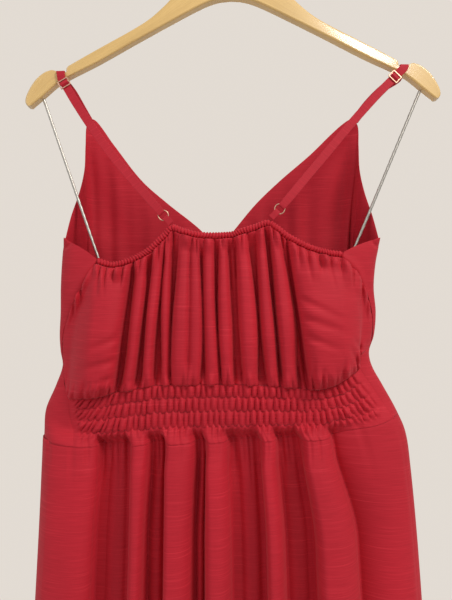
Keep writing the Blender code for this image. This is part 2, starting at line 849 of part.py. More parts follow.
def make_front_half(name, side_sign, top_rows, flap_rows, seam_rows, finish):
    """One half of the V-neck front, from the centre round to the end of the back casing."""
    columns = [0.0, 0.04, 0.08, 0.12, 0.16, 0.20, 0.24, 0.28, 0.32, 0.36, 0.40, 0.44, 0.48,
               0.52, 0.56, 0.60, 0.65, 0.70, 0.75, 0.80] + FLAP_COLUMNS
    rows = [1.0, 0.90, 0.75, 0.60, 0.45, 0.30, 0.18, 0.08, 0.0]
    middle, half = section_middle(FRONT_WAIST_TOP)
    centre_across = (CENTRE_FRONT - middle) / half

    def front_low(column):
        share = column / SIDE_SHARE
        across = mix(centre_across, side_sign, math.sin(share * math.pi / 2.0))
        drop = front_waist_drop(across) - SEAM
        return across_to_x(across, drop), drop

    def surface(column, row):
        if column > SIDE_SHARE:
            index = FLAP_COLUMNS.index(column)
            gap = SEAM if index == 0 else 0.0
            return back_between(flap_rows[index], seam_rows[index], row, side_sign * SEAM_SIDE_GAP, gap)
        top_x = curve_value(top_rows, "share", "x", column)
        top_y = curve_value(top_rows, "share", "y", column)
        top_drop = curve_value(top_rows, "share", "drop", column)
        low_x, low_drop = front_low(column)
        x = mix(top_x, low_x, row)
        if column == 0.0:
            x = CENTRE_FRONT + side_sign * SEAM / 2.0
        drop = mix(top_drop, low_drop, row)
        gather = math.cos(2.0 * math.pi * FRONT_GATHERS * column / SIDE_SHARE) - 1.0
        lift = FRONT_GATHER_LIFT * gather * row * (1.0 - column / SIDE_SHARE)
        settle = min(row / 0.45, 1.0)
        settle = settle * settle * (3.0 - 2.0 * settle)
        depth = mix(top_y, body_depth(x, max(drop, 0.362), FRONT), settle) + lift
        return Vector((x, depth, -drop))

    return make_cloth(name, columns, rows, surface, finish)


def make_skirt(name, side, folds, top_drop, finish):
    """Skirt panel from the waist seam to the hem, with its folds widening as they fall."""
    middle, half = section_middle(SKIRT_FOLD_DROP)
    columns = [(row.x - middle) / half for row in folds]
    columns[0] = -1.0
    columns[-1] = 1.0
    rows = [row.share for row in reversed(SKIRT_RISE)]
    lifts = [Lift((row.x - middle) / half, row.lift) for row in folds]
    lifts[0] = Lift(-1.0, 0.0)
    lifts[-1] = Lift(1.0, 0.0)

    def surface(column, row):
        start = SKIRT_FOLD_DROP
        for _ in range(4):
            start = top_drop(across_to_x(column, start)) + SKIRT_SEAM
        drop = mix(start, HEM_DROP, row)
        lift = eased_value(lifts, "x", "lift", column)
        lift *= curve_value(SKIRT_RISE, "share", "height", row)
        return body_point(across_to_x(column, drop), drop, side, lift)

    return make_cloth(name, columns, rows, surface, finish)


# Straps
def tilted(x, y, drop):
    """Point of the hanger after it is tilted about the hook's inner top."""
    return Matrix.Rotation(-TILT, 3, "Y") @ Vector((x, y, -drop))


def way_point(way):
    """Row of a route as a point."""
    return Vector((way.x, way.y, -way.drop))


def smooth_route(spots, step):
    """Spots about one step apart on a smooth curve through the given ones.

    A spot is a point and the direction of the strap's width there, in one six-number vector.
    """
    route = [spots[0]]
    last = len(spots) - 1
    for index in range(last):
        start = spots[index]
        end = spots[index + 1]
        before = spots[max(index - 1, 0)]
        after = spots[min(index + 2, last)]
        span = (end - start).xyz.length
        lead_in = (end - before) * (span / (end - before).xyz.length)
        lead_out = (after - start) * (span / (after - start).xyz.length)
        count = max(1, round(span / step))
        for tick in range(1, count + 1):
            share = tick / count
            bend = share * share * (3.0 - 2.0 * share)
            spot = mix(start, end, bend) + lead_in * share * (1.0 - share) ** 2
            route.append(spot - lead_out * share ** 2 * (1.0 - share))
    return route


def spot(point, across):
    """Point of a strap's route with the direction of its width."""
    return Vector((*point, *across))


def make_ribbon(name, route, width_at, finish):
    """Flat strap along a route of spots, as wide as width_at says at each point."""
    points = [Vector(item[0:3]) for item in route]
    sides = []
    for index, item in enumerate(route):
        ahead = points[min(index + 1, len(points) - 1)] - points[max(index - 1, 0)]
        ahead.normalize()
        across = Vector(item[3:6])
        across -= ahead * across.dot(ahead)
        sides.append(across.normalized())

    def surface(column, row):
        return points[row] + sides[row] * (column - 0.5) * width_at(points[row])

    def relief(column, row):
        return STRAP_THICKNESS / 2.0

    rows = list(range(len(points)))
    return make_wall(name, [0.0, 0.5, 1.0], rows, surface, finish, relief, STRAP_THICKNESS / 2.0, False)


def across_way(ahead):
    """Direction of a strap's width where it runs ahead with its face towards -Y."""
    return Vector((ahead.z, 0.0, -ahead.x)).normalized() * (-1.0)


def turn_through(middle, ahead, across):
    """Half turn of a strap round the ring's wire, from its near side to its far side."""
    spots = []
    for step in range(TURN_STEPS + 1):
        angle = math.pi * (step / TURN_STEPS - 0.5)
        point = middle + ahead * TURN_RADIUS * math.cos(angle) + AWAY * TURN_RADIUS * math.sin(angle)
        spots.append(spot(point, across))
    return spots


def make_strap(name, hand, front, back, slider, ring, finish):
    """Strap from the front, over the hanger, down to the ring and back up to the slider."""
    level = Vector((1.0, 0.0, 0.0))
    half_wood = WOOD_THICKNESS / 2.0
    over = [(half_wood + 0.0030, 0.1795, 0.1910), (half_wood + 0.0018, 0.1813, 0.1860),
            (half_wood + 0.0008, 0.1820, 0.1827), (half_wood - 0.0015, 0.1820, 0.1823)]
    parts = [spot(way_point(way), level) for way in front]
    parts += [spot(tilted(hand * x, y, drop), level) for y, x, drop in over]
    parts += [spot(tilted(hand * x, -y, drop), level) for y, x, drop in over[:0:-1]]
    centre = way_point(slider)
    onward = (way_point(back[0]) - centre).normalized()
    across = across_way(onward)
    for along, depth in SLIDER_WEAVE:
        parts.append(spot(centre + onward * along + AWAY * depth, across))
    parts += [spot(way_point(way), level) for way in back]
    hole = way_point(ring)
    down = (hole - way_point(back[-1])).normalized()
    parts += turn_through(hole - down * STRAP_TURN_PLACE, down, across_way(down))
    parts += [spot(way_point(way) + AWAY * STRAP_DOUBLED, level) for way in reversed(back)]
    for along, depth in SLIDER_RETURN:
        parts.append(spot(centre + onward * along + AWAY * depth, across))

    def width_at(point):
        return mix(TAB_WIDTH, STRAP_WIDTH, min((point - hole).length / 0.016, 1.0))

    return make_ribbon(name, smooth_route(parts, STRAP_STEP), width_at, finish)


def make_ring(name, ring, finish):
    """Strap ring: a wire loop that lies in the dress's plane."""
    bpy.ops.mesh.primitive_torus_add(
        major_segments=24, minor_segments=6, major_radius=RING_RADIUS, minor_radius=RING_WIRE,
        location=way_point(ring), rotation=(math.radians(90), 0.0, 0.0))
    made = bpy.context.object
    made.name = name
    made.data.materials.append(finish)
    for holder in list(made.users_collection):
        holder.objects.unlink(made)
    bpy.data.collections["maxi_dress"].objects.link(made)
    return made


def make_tab(name, ring, foot, finish):
    """Sewn tab that carries the ring: from the casing up, through the ring and back."""
    hole = way_point(ring)
    base = way_point(foot)
    down = (base - hole).normalized()
    across = across_way(down)
    parts = [spot(base - AWAY * TURN_RADIUS, across)]
    parts += turn_through(hole + down * TAB_TURN_PLACE, -down, across)
    parts.append(spot(base + AWAY * TURN_RADIUS, across))

    def width_at(point):
        return TAB_WIDTH * 0.9

    return make_ribbon(name, smooth_route(parts, STRAP_STEP), width_at, finish)


def rounded_box(half_width, half_height, radius, steps=3):
    """Outline of a rounded rectangle about the middle."""
    outline = []
    for quarter in range(4):
        corner_x = (half_width - radius) * (1 if quarter in (0, 3) else -1)
        corner_y = (half_height - radius) * (1 if quarter in (0, 1) else -1)
        for step in range(steps + 1):
            angle = math.pi / 2.0 * (quarter + step / steps)
            outline.append((corner_x + radius * math.cos(angle), corner_y + radius * math.sin(angle)))
    return outline


def make_slider(name, slider, toward_point, finish):
    """Strap slider: a flat frame with a bar across its middle."""
    plate = bpy.data.curves.new(name, "CURVE")
    plate.dimensions = "2D"
    plate.fill_mode = "BOTH"
    plate.extrude = SLIDER_THICKNESS / 2.0
    opening = STRAP_WIDTH / 2.0 + 0.0006
    window = (SLIDER_PITCH - SLIDER_BAR) / 2.0
    loops = [(0.0, rounded_box(opening + SLIDER_SIDE, SLIDER_PITCH + SLIDER_BAR / 2.0, 0.0014))]
    for sign in (-1, 1):
        loops.append((sign * SLIDER_PITCH / 2.0, rounded_box(opening, window, 0.0004, steps=1)))
    for shift, outline in loops:
        spline = plate.splines.new("POLY")
        spline.points.add(len(outline) - 1)
        spline.use_cyclic_u = True
        for index, (x, y) in enumerate(outline):
            spline.points[index].co = (x, y + shift, 0.0, 1.0)
    plate.materials.append(finish)
    made = bpy.data.objects.new(name, plate)
    bpy.data.collections["maxi_dress"].objects.link(made)
    centre = way_point(slider)
    along = (way_point(toward_point) - centre).normalized()
    outward = Vector((0.0, -1.0, 0.0))
    across = along.cross(outward).normalized()
    outward = across.cross(along).normalized()
    turn = Matrix((across, along, outward)).transposed().to_4x4()
    made.matrix_world = Matrix.Translation(centre) @ turn
    return made


# Hanger
def make_hanger_wood(finish):
    """Shaped wooden arms, cut from one board, with a notch for each strap."""
    top = []
    for index in range(len(HANGER_TOP) - 1):
        start = HANGER_TOP[index]
        end = HANGER_TOP[index + 1]
        for tick in range(2):
            x = mix(start.x, end.x, tick / 2.0)
            top.append(Point(x, curve_value(HANGER_TOP, "x", "drop", x)))
    half = top + [HANGER_TOP[-1]] + HANGER_NOTCH + HANGER_END + HANGER_UNDERSIDE
    outline = [(point.x, -point.drop) for point in half]
    outline += [(-point.x, -point.drop) for point in reversed(half[1:-1])]
    board = bpy.data.curves.new("hanger_wood", "CURVE")
    board.dimensions = "2D"
    board.fill_mode = "BOTH"
    board.extrude = WOOD_THICKNESS / 2.0
    spline = board.splines.new("POLY")
    spline.points.add(len(outline) - 1)
    spline.use_cyclic_u = True
    for index, (x, z) in enumerate(outline):
        spline.points[index].co = (x, z, 0.0, 1.0)
    board.materials.append(finish)
    wood = bpy.data.objects.new("hanger_wood", board)
    bpy.data.collections["maxi_dress"].objects.link(wood)
    wood.matrix_world = Matrix.Rotation(-TILT, 4, "Y") @ Matrix.Rotation(math.radians(90), 4, "X")
    weld = wood.modifiers.new("Weld", "WELD")
    weld.merge_threshold = 0.00005
    edge = wood.modifiers.new("Edge", "BEVEL")
    edge.width = WOOD_EDGE
    edge.segments = 2
    edge.limit_method = "ANGLE"
    edge.angle_limit = math.radians(60)
    return wood


def make_hook(finish):
    """Wire hook: a round crook whose inner top is the origin, on a shank into the wood."""
    radius = HOOK_INNER_RADIUS + HOOK_WIRE
    points = []
    for step in range(HOOK_STEPS + 1):
        angle = mix(HOOK_OPENING_ANGLE, HOOK_END_ANGLE, step / HOOK_STEPS)
        points.append(tilted(radius * math.cos(angle), 0.0, HOOK_INNER_RADIUS - radius * math.sin(angle)))
    foot = HANGER_TOP[0].drop - 0.0004
    points += [tilted(0.0035, 0.0, 0.0412), tilted(0.0008, 0.0, 0.0460), tilted(0.0, 0.0, 0.0520)]
    points.append(tilted(0.0, 0.0, foot))
    return make_wire("hanger_hook", points, HOOK_WIRE, finish)


def make_trouser_bar(finish):
    """Bent wire bar below the arms: two slanting sides and a level run inside the dress."""
    corners = [way_point(way) for way in (BAR_TOP_LEFT, BAR_LOW_LEFT, BAR_LOW_RIGHT, BAR_TOP_RIGHT)]
    points = [corners[0]]
    for index in (1, 2):
        before = (corners[index - 1] - corners[index]).normalized()
        after = (corners[index + 1] - corners[index]).normalized()
        start = corners[index] + before * BAR_BEND
        end = corners[index] + after * BAR_BEND
        for step in range(6):
            share = step / 5.0
            first = mix(start, corners[index], share)
            second = mix(corners[index], end, share)
            points.append(mix(first, second, share))
    points.append(corners[3])
    return make_wire("trouser_bar", points, BAR_WIRE, finish)


def main():
    """Builds the dress and its hanger."""
    clear_scene()
    bpy.context.scene.collection.children.link(bpy.data.collections.new("maxi_dress"))
    cloth = {}
    for name in ("back_skirt", "front_skirt", "back_waist", "front_waist", "back_bodice",
                 "back_casing", "front_left", "front_right"):
        cloth[name] = new_finish(name + "_cloth", CORAL, 0.7)
    make_skirt("back_skirt", BACK, BACK_SKIRT_FOLDS,
               lambda x: curve_value(WAIST_SEAM, "x", "drop", x), cloth["back_skirt"])
    make_skirt("front_skirt", FRONT, FRONT_SKIRT_FOLDS, front_seam_drop, cloth["front_skirt"])
    make_back_waist(cloth["back_waist"])
    make_front_waist(cloth["front_waist"])
    make_back_bodice(cloth["back_bodice"])
    make_casing(cloth["back_casing"])
    make_front_half("front_left", -1, FRONT_TOP_LEFT, FLAP_TOP_LEFT, SIDE_SEAM_LEFT, cloth["front_left"])
    make_front_half("front_right", 1, FRONT_TOP_RIGHT, FLAP_TOP_RIGHT, SIDE_SEAM_RIGHT, cloth["front_right"])
    sets = [
        ("left", -1, LEFT_STRAP_FRONT, LEFT_STRAP_BACK, LEFT_SLIDER, LEFT_RING, LEFT_TAB),
        ("right", 1, RIGHT_STRAP_FRONT, RIGHT_STRAP_BACK, RIGHT_SLIDER, RIGHT_RING, RIGHT_TAB),
    ]
    for hand, sign, front, back, slider, ring, tab in sets:
        strap = new_finish("strap_" + hand + "_cloth", STRAP_CORAL, 0.7)
        metal = new_finish("hardware_" + hand, ROSE_GOLD, 0.25, metallic=1.0)
        make_strap("strap_" + hand, sign, front, back, slider, ring, strap)
        make_tab("ring_tab_" + hand, ring, tab, strap)
        make_ring("ring_" + hand, ring, metal)
        make_slider("slider_" + hand, slider, back[0], metal)
    make_hanger_wood(new_finish("varnished_wood", PALE_WOOD, 0.3))
    steel = new_finish("hanger_steel", STEEL, 0.3, metallic=1.0)
    make_hook(steel)
    make_trouser_bar(steel)


main()
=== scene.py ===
"""Maxi dress on a wooden hanger: cloth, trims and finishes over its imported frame.

The dress's back faces -Y and its front faces +Y. The origin is the inner top of the hanger's
hook. Lengths are metres, and "drop" is the distance straight down from that point. Each
cloth panel is one sheet, shaped by the level sections it hangs in and by its own folds.
"""

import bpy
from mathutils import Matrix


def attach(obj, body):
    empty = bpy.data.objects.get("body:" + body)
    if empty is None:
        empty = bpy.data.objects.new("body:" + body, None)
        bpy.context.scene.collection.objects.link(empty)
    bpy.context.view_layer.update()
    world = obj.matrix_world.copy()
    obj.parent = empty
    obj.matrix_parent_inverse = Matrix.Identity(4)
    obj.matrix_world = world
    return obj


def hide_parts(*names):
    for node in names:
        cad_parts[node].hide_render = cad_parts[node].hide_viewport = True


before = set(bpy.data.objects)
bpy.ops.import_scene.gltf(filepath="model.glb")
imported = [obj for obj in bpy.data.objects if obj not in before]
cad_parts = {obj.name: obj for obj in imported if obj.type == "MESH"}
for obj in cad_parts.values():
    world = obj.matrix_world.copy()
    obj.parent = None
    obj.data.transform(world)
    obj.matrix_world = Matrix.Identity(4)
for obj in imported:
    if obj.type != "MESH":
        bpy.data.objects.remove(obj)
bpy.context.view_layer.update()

import math
import random
from bisect import bisect_right
from collections import namedtuple

import bmesh
import bpy
from mathutils import Matrix, Vector

bl_info = {
    "name": "Maxi dress on a hanger",
    "version": (1, 0, 0),
    "blender": (4, 5, 0),
    "location": "View3D > Sidebar > Dress",
    "description": "Dresses a packed frame as a gathered maxi dress on a wooden hanger",
    "category": "Object",
}

SEAM = 0.0003
BEND = 3.2
BACK = -1
FRONT = 1

# The dress hangs in these level sections: its side edges, and how far its back and its
# front stand off the hanger's plane
Section = namedtuple("Section", "drop left right back front")
SECTIONS = [
    Section(0.335, -0.174, 0.160, 0.028, 0.040),
    Section(0.362, -0.175, 0.160, 0.030, 0.042),
    Section(0.390, -0.177, 0.155, 0.032, 0.044),
    Section(0.415, -0.178, 0.153, 0.034, 0.045),
    Section(0.441, -0.178, 0.155, 0.036, 0.045),
    Section(0.465, -0.179, 0.153, 0.036, 0.043),
    Section(0.482, -0.178, 0.148, 0.035, 0.041),
    Section(0.497, -0.176, 0.151, 0.034, 0.039),
    Section(0.517, -0.183, 0.162, 0.034, 0.038),
    Section(0.542, -0.194, 0.176, 0.034, 0.038),
    Section(0.565, -0.196, 0.186, 0.035, 0.039),
    Section(0.600, -0.197, 0.191, 0.038, 0.042),
    Section(0.680, -0.200, 0.198, 0.044, 0.048),
    Section(0.800, -0.206, 0.206, 0.050, 0.054),
    Section(1.100, -0.224, 0.226, 0.058, 0.062),
    Section(1.350, -0.242, 0.245, 0.063, 0.067),
    Section(1.580, -0.260, 0.262, 0.068, 0.072),
]
HEM_DROP = 1.580

# Seams that panels share
Point = namedtuple("Point", "x drop")
NECKLINE = [
    Point(-0.1343, 0.3850),
    Point(-0.1175, 0.3890),
    Point(-0.0992, 0.3836),
    Point(-0.0823, 0.3740),
    Point(-0.0680, 0.3600),
    Point(-0.0588, 0.3515),
    Point(-0.0472, 0.3546),
    Point(-0.0302, 0.3588),
    Point(-0.0002, 0.3586),
    Point(0.0120, 0.3550),
    Point(0.0249, 0.3510),
    Point(0.0400, 0.3465),
    Point(0.0500, 0.3520),
    Point(0.0610, 0.3603),
    Point(0.0807, 0.3707),
    Point(0.1003, 0.3765),
    Point(0.1146, 0.3784),
]
WAIST_TOP = [
    Point(-0.1645, 0.5280),
    Point(-0.1369, 0.5262),
    Point(-0.1196, 0.5218),
    Point(-0.0960, 0.5178),
    Point(-0.0757, 0.5140),
    Point(-0.0033, 0.5127),
    Point(0.0559, 0.5150),
    Point(0.0865, 0.5180),
    Point(0.1079, 0.5132),
    Point(0.1201, 0.5060),
    Point(0.1340, 0.4970),
]
WAIST_SEAM = [
    Point(-0.1965, 0.5730),
    Point(-0.1645, 0.5757),
    Point(-0.1257, 0.5760),
    Point(-0.0730, 0.5730),
    Point(0.0624, 0.5690),
    Point(0.1017, 0.5670),
    Point(0.1180, 0.5615),
    Point(0.1528, 0.5550),
    Point(0.1780, 0.5462),
]
FRONT_SEAM_LEFT = 0.573
FRONT_SEAM_RIGHT = 0.546
FRONT_WAIST_TOP = 0.497
FRONT_WAIST_TOP_LEFT = 0.4960
FRONT_WAIST_TOP_RIGHT = 0.4785
SIDE_SEAM_LEFT = [
    Point(-0.1735, 0.4960),
    Point(-0.1716, 0.4600),
    Point(-0.1620, 0.4360),
    Point(-0.1500, 0.4140),
    Point(-0.1365, 0.3918),
]
SIDE_SEAM_RIGHT = [
    Point(0.1467, 0.4785),
    Point(0.1485, 0.4470),
    Point(0.1425, 0.4230),
    Point(0.1330, 0.4030),
    Point(0.1155, 0.3862),
]
WAIST_END_LEFT = [
    Point(-0.1735, 0.4960),
    Point(-0.1700, 0.5145),
    Point(-0.1645, 0.5280),
]
WAIST_END_RIGHT = [
    Point(0.1467, 0.4785),
    Point(0.1360, 0.4838),
    Point(0.1340, 0.4970),
]
WAIST_LOW_LEFT = [
    Point(-0.1835, 0.5735),
    Point(-0.1690, 0.5745),
    Point(-0.1560, 0.5757),
]
WAIST_LOW_RIGHT = [
    Point(0.1765, 0.5465),
    Point(0.1735, 0.5475),
    Point(0.1690, 0.5490),
]

# Casing along the back neckline
CASING_RADIUS = 0.0034
CASING_GATHERS = 88
CASING_TWIST = 0.40
CASING_SEAM = 0.0004

# The gathered back: a column of its cloth runs from the neckline to the waist, and is
# named by where it lies across the dress half way down
Edge = namedtuple("Edge", "column x drop")
BACK_TOP_LEFT = [
    Edge(-0.118, -0.1165, 0.3950),
    Edge(-0.104, -0.0990, 0.3893),
]
BACK_TOP_RIGHT = [
    Edge(0.068, 0.0600, 0.3655),
    Edge(0.084, 0.0810, 0.3764),
    Edge(0.100, 0.1000, 0.3820),
]
BACK_LOW_LEFT = [
    Edge(-0.144, -0.1520, 0.5276),
    Edge(-0.133, -0.1400, 0.5265),
    Edge(-0.118, -0.1280, 0.5240),
    Edge(-0.104, -0.1170, 0.5208),
]
BACK_LOW_RIGHT = [
    Edge(0.068, 0.0820, 0.5176),
    Edge(0.084, 0.0960, 0.5164),
    Edge(0.100, 0.1110, 0.5118),
    Edge(0.112, 0.1230, 0.5042),
]
LEFT_COLUMNS = [-0.172, -0.166, -0.155, -0.144]
RIGHT_COLUMNS = [0.112, 0.124, 0.136, 0.146]
GATHER_MIDDLE = -0.012
NECK_SPREAD = 0.90
WAIST_SPREAD = 1.12

# Folds of a back panel: a rounded ridge from left to right of its crest, the height of its
# crest and of its foot, how steep its sides are, and how far it leans over its neighbour
Station = namedtuple("Station", "x lift lean")
Ridge = namedtuple("Ridge", "x left right height foot steep lean")
BODICE_RIDGES = [
    Ridge(-0.1270, 0.0450, 0.0235, 0.0215, 0.0000, 0.50, 0.0030),
    Ridge(-0.0925, 0.0080, 0.0075, 0.0104, -0.0095, 0.52, 0.0010),
    Ridge(-0.0745, 0.0068, 0.0070, 0.0084, -0.0095, 0.55, 0.0004),
    Ridge(-0.0610, 0.0046, 0.0052, 0.0060, -0.0085, 0.60, 0.0000),
    Ridge(-0.0455, 0.0095, 0.0090, 0.0104, -0.0080, 0.55, 0.0000),
    Ridge(-0.0345, 0.0085, 0.0070, 0.0092, -0.0095, 0.55, 0.0006),
    Ridge(-0.0262, 0.0030, 0.0030, -0.0050, -0.0095, 0.80, 0.0000),
    Ridge(-0.0190, 0.0070, 0.0080, 0.0084, -0.0095, 0.52, 0.0004),
    Ridge(-0.0040, 0.0066, 0.0072, 0.0086, -0.0095, 0.52, -0.0004),
    Ridge(0.0058, 0.0036, 0.0034, -0.0060, -0.0095, 0.80, 0.0000),
    Ridge(0.0160, 0.0086, 0.0092, 0.0098, -0.0095, 0.50, -0.0006),
    Ridge(0.0366, 0.0070, 0.0068, 0.0090, -0.0095, 0.52, -0.0004),
    Ridge(0.0505, 0.0074, 0.0110, 0.0112, -0.0095, 0.52, -0.0008),
    Ridge(0.0625, 0.0030, 0.0030, -0.0040, -0.0095, 0.80, 0.0000),
    Ridge(0.0900, 0.0230, 0.0560, 0.0215, 0.0000, 0.50, -0.0030),
]
BODICE_DRIFT = [0.0, 0.0016, -0.0010, 0.0022, 0.0006, -0.0020, 0.0010, -0.0014, 0.0008, 0.0,
                -0.0012, 0.0012, -0.0020, 0.0, 0.0]
BODICE_EDGES = (-0.1720, 0.1460)
Rise = namedtuple("Rise", "share height")
BODICE_RISE = [
    Rise(0.00, 0.22),
    Rise(0.05, 0.50),
    Rise(0.18, 0.80),
    Rise(0.50, 1.00),
    Rise(0.80, 1.06),
    Rise(0.93, 0.86),
    Rise(1.00, 0.30),
]
BODICE_FLOOR = -0.0095
SKIRT_FLOOR = -0.0190
SKIRT_VALLEY = 0.0110
FOLD_FOOT = 0.0070
TUCKED = 0.0012
TUCK_REACH = 0.0030

# Listed creases: where each starts and ends, its half width and depth. A negative depth is a ridge.
Crease = namedtuple("Crease", "x drop end_x end_drop half depth")
BODICE_CREASES = [
    Crease(-0.1180, 0.396, -0.1210, 0.424, 0.0034, 0.0022),
    Crease(-0.1085, 0.394, -0.1120, 0.416, 0.0030, 0.0024),
    Crease(-0.0995, 0.391, -0.1050, 0.432, 0.0034, 0.0026),
    Crease(-0.1265, 0.398, -0.1370, 0.430, 0.0050, 0.0018),
    Crease(-0.1130, 0.466, -0.1480, 0.480, 0.0060, 0.0024),
    Crease(-0.1150, 0.488, -0.1560, 0.498, 0.0060, 0.0026),
    Crease(-0.1180, 0.506, -0.1520, 0.514, 0.0055, 0.0022),
    Crease(-0.1480, 0.526, -0.1450, 0.506, 0.0040, 0.0030),
    Crease(-0.1390, 0.526, -0.1330, 0.508, 0.0036, 0.0030),
    Crease(-0.1310, 0.523, -0.1220, 0.500, 0.0036, 0.0034),
    Crease(-0.1230, 0.521, -0.1160, 0.506, 0.0030, 0.0028),
    Crease(0.0700, 0.372, 0.0720, 0.400, 0.0030, 0.0024),
    Crease(0.0790, 0.376, 0.0840, 0.412, 0.0034, 0.0026),
    Crease(0.0890, 0.379, 0.0960, 0.404, 0.0032, 0.0024),
    Crease(0.0990, 0.382, 0.1080, 0.420, 0.0036, 0.0020),
    Crease(0.1120, 0.388, 0.1260, 0.420, 0.0050, 0.0016),
    Crease(0.0740, 0.428, 0.1180, 0.448, 0.0060, 0.0024),
    Crease(0.0755, 0.446, 0.1250, 0.462, 0.0062, 0.0026),
    Crease(0.0790, 0.464, 0.1150, 0.478, 0.0060, 0.0026),
    Crease(0.1320, 0.404, 0.1400, 0.452, 0.0070, 0.0028),
    Crease(-0.1500, 0.418, -0.1640, 0.462, 0.0080, 0.0022),
    Crease(0.0850, 0.515, 0.0860, 0.484, 0.0034, 0.0034),
    Crease(0.0930, 0.516, 0.0960, 0.494, 0.0032, 0.0034),
    Crease(0.1030, 0.515, 0.1010, 0.500, 0.0030, 0.0030),
    Crease(0.1130, 0.510, 0.1180, 0.484, 0.0040, 0.0040),
    Crease(0.1230, 0.503, 0.1240, 0.488, 0.0034, 0.0034),
    Crease(0.1330, 0.493, 0.1220, 0.474, 0.0044, 0.0034),
    Crease(0.1390, 0.480, 0.1250, 0.464, 0.0044, 0.0026),
]
# Short gathers that the casing and the waist draw into the back
NECK_GATHERS = 36
NECK_GATHER_LIFT = 0.0090
LOW_GATHERS = 40
LOW_GATHER_LIFT = 0.0066

# Shirred waist
PUCKER_PITCH = 0.0063
PUCKER_LIFT = 0.0054
SHIRRED_LEFT = (-0.1645, -0.1560)
SHIRRED_RIGHT = (0.1340, 0.1690)
PUCKER_SHIFTS = [0.04, 0.49, -0.06, 0.41]
ELASTIC_ROWS = [0.0, 0.225, 0.465, 0.725]
SEAM_GAP = 0.00045

# Folds of the skirt, across it at SKIRT_FOLD_DROP, and where each starts at the waist
SKIRT_FOLD_DROP = 0.630
SKIRT_SEAM = 0.0002
BACK_SKIRT_RIDGES = [
    Ridge(-0.1690, 0.0330, 0.0330, 0.0130, -0.0080, 0.42, 0.0014),
    Ridge(-0.1150, 0.0110, 0.0090, -0.0160, -0.0190, 0.80, 0.0000),
    Ridge(-0.0925, 0.0086, 0.0086, 0.0090, -0.0190, 0.46, -0.0010),
    Ridge(-0.0740, 0.0080, 0.0060, -0.0130, -0.0190, 0.80, 0.0000),
    Ridge(-0.0560, 0.0092, 0.0204, 0.0114, -0.0190, 0.42, -0.0026),
    Ridge(-0.0300, 0.0040, 0.0040, -0.0100, -0.0180, 0.80, 0.0000),
    Ridge(-0.0140, 0.0112, 0.0174, 0.0102, -0.0190, 0.42, -0.0022),
    Ridge(0.0225, 0.0100, 0.0080, -0.0140, -0.0190, 0.70, 0.0000),
    Ridge(0.0440, 0.0072, 0.0124, 0.0098, -0.0200, 0.43, -0.0034),
    Ridge(0.0690, 0.0110, 0.0100, -0.0160, -0.0200, 0.80, 0.0000),
    Ridge(0.0980, 0.0128, 0.0310, 0.0134, -0.0190, 0.42, -0.0034),
    Ridge(0.1800, 0.0560, 0.0150, 0.0060, -0.0190, 1.10, 0.0000),
    Ridge(0.1850, 0.0090, 0.0100, 0.0050, -0.0040, 0.60, 0.0000),
]
FRONT_SKIRT_STATIONS = [
    Station(-0.1980, 0.0000, 0.0000),
    Station(-0.1880, 0.0030, 0.0000),
    Station(-0.1700, 0.0090, 0.0000),
    Station(-0.1520, 0.0100, 0.0010),
    Station(-0.1410, -0.0020, 0.0000),
    Station(-0.1250, -0.0034, 0.0000),
    Station(-0.1160, 0.0086, -0.0010),
    Station(-0.0950, 0.0104, 0.0006),
    Station(-0.0850, -0.0030, 0.0000),
    Station(-0.0700, -0.0040, 0.0000),
    Station(-0.0600, 0.0096, -0.0010),
    Station(-0.0350, 0.0112, 0.0010),
    Station(-0.0250, -0.0030, 0.0000),
    Station(-0.0100, -0.0044, 0.0000),
    Station(0.0000, 0.0096, -0.0008),
    Station(0.0200, 0.0110, 0.0010),
    Station(0.0300, -0.0030, 0.0000),
    Station(0.0470, -0.0044, 0.0000),
    Station(0.0570, 0.0088, -0.0010),
    Station(0.0770, 0.0104, 0.0008),
    Station(0.0880, -0.0030, 0.0000),
    Station(0.1050, -0.0044, 0.0000),
    Station(0.1150, 0.0088, -0.0010),
    Station(0.1350, 0.0100, 0.0010),
    Station(0.1460, -0.0020, 0.0000),
    Station(0.1600, -0.0010, 0.0000),
    Station(0.1720, 0.0060, 0.0000),
    Station(0.1850, 0.0030, 0.0000),
    Station(0.1945, 0.0000, 0.0000),
]
Drift = namedtuple("Drift", "x top")
BACK_SKIRT_DRIFT = [
    Drift(-0.1980, -0.1980),
    Drift(-0.1355, -0.1320),
    Drift(-0.0974, -0.0972),
    Drift(-0.0805, -0.0758),
    Drift(-0.0587, -0.0588),
    Drift(-0.0320, -0.0272),
    Drift(-0.0142, -0.0158),
    Drift(0.0046, 0.0036),
    Drift(0.0373, 0.0347),
    Drift(0.0601, 0.0560),
    Drift(0.0898, 0.0800),
    Drift(0.1383, 0.1200),
    Drift(0.1945, 0.1945),
]
FRONT_SKIRT_DRIFT = [
    Drift(-0.1980, -0.1980),
    Drift(-0.1200, -0.1150),
    Drift(-0.0400, -0.0360),
    Drift(0.0300, 0.0280),
    Drift(0.1200, 0.1120),
    Drift(0.1945, 0.1945),
]
SKIRT_RISE = [
    Rise(0.000, 0.78),
    Rise(0.012, 0.88),
    Rise(0.030, 0.96),
    Rise(0.065, 1.00),
    Rise(0.130, 1.10),
    Rise(0.230, 1.20),
    Rise(0.360, 1.35),
    Rise(0.520, 1.50),
    Rise(0.680, 1.65),
    Rise(0.840, 1.80),
    Rise(1.000, 1.90),
]
Tuck = namedtuple("Tuck", "x half depth length")
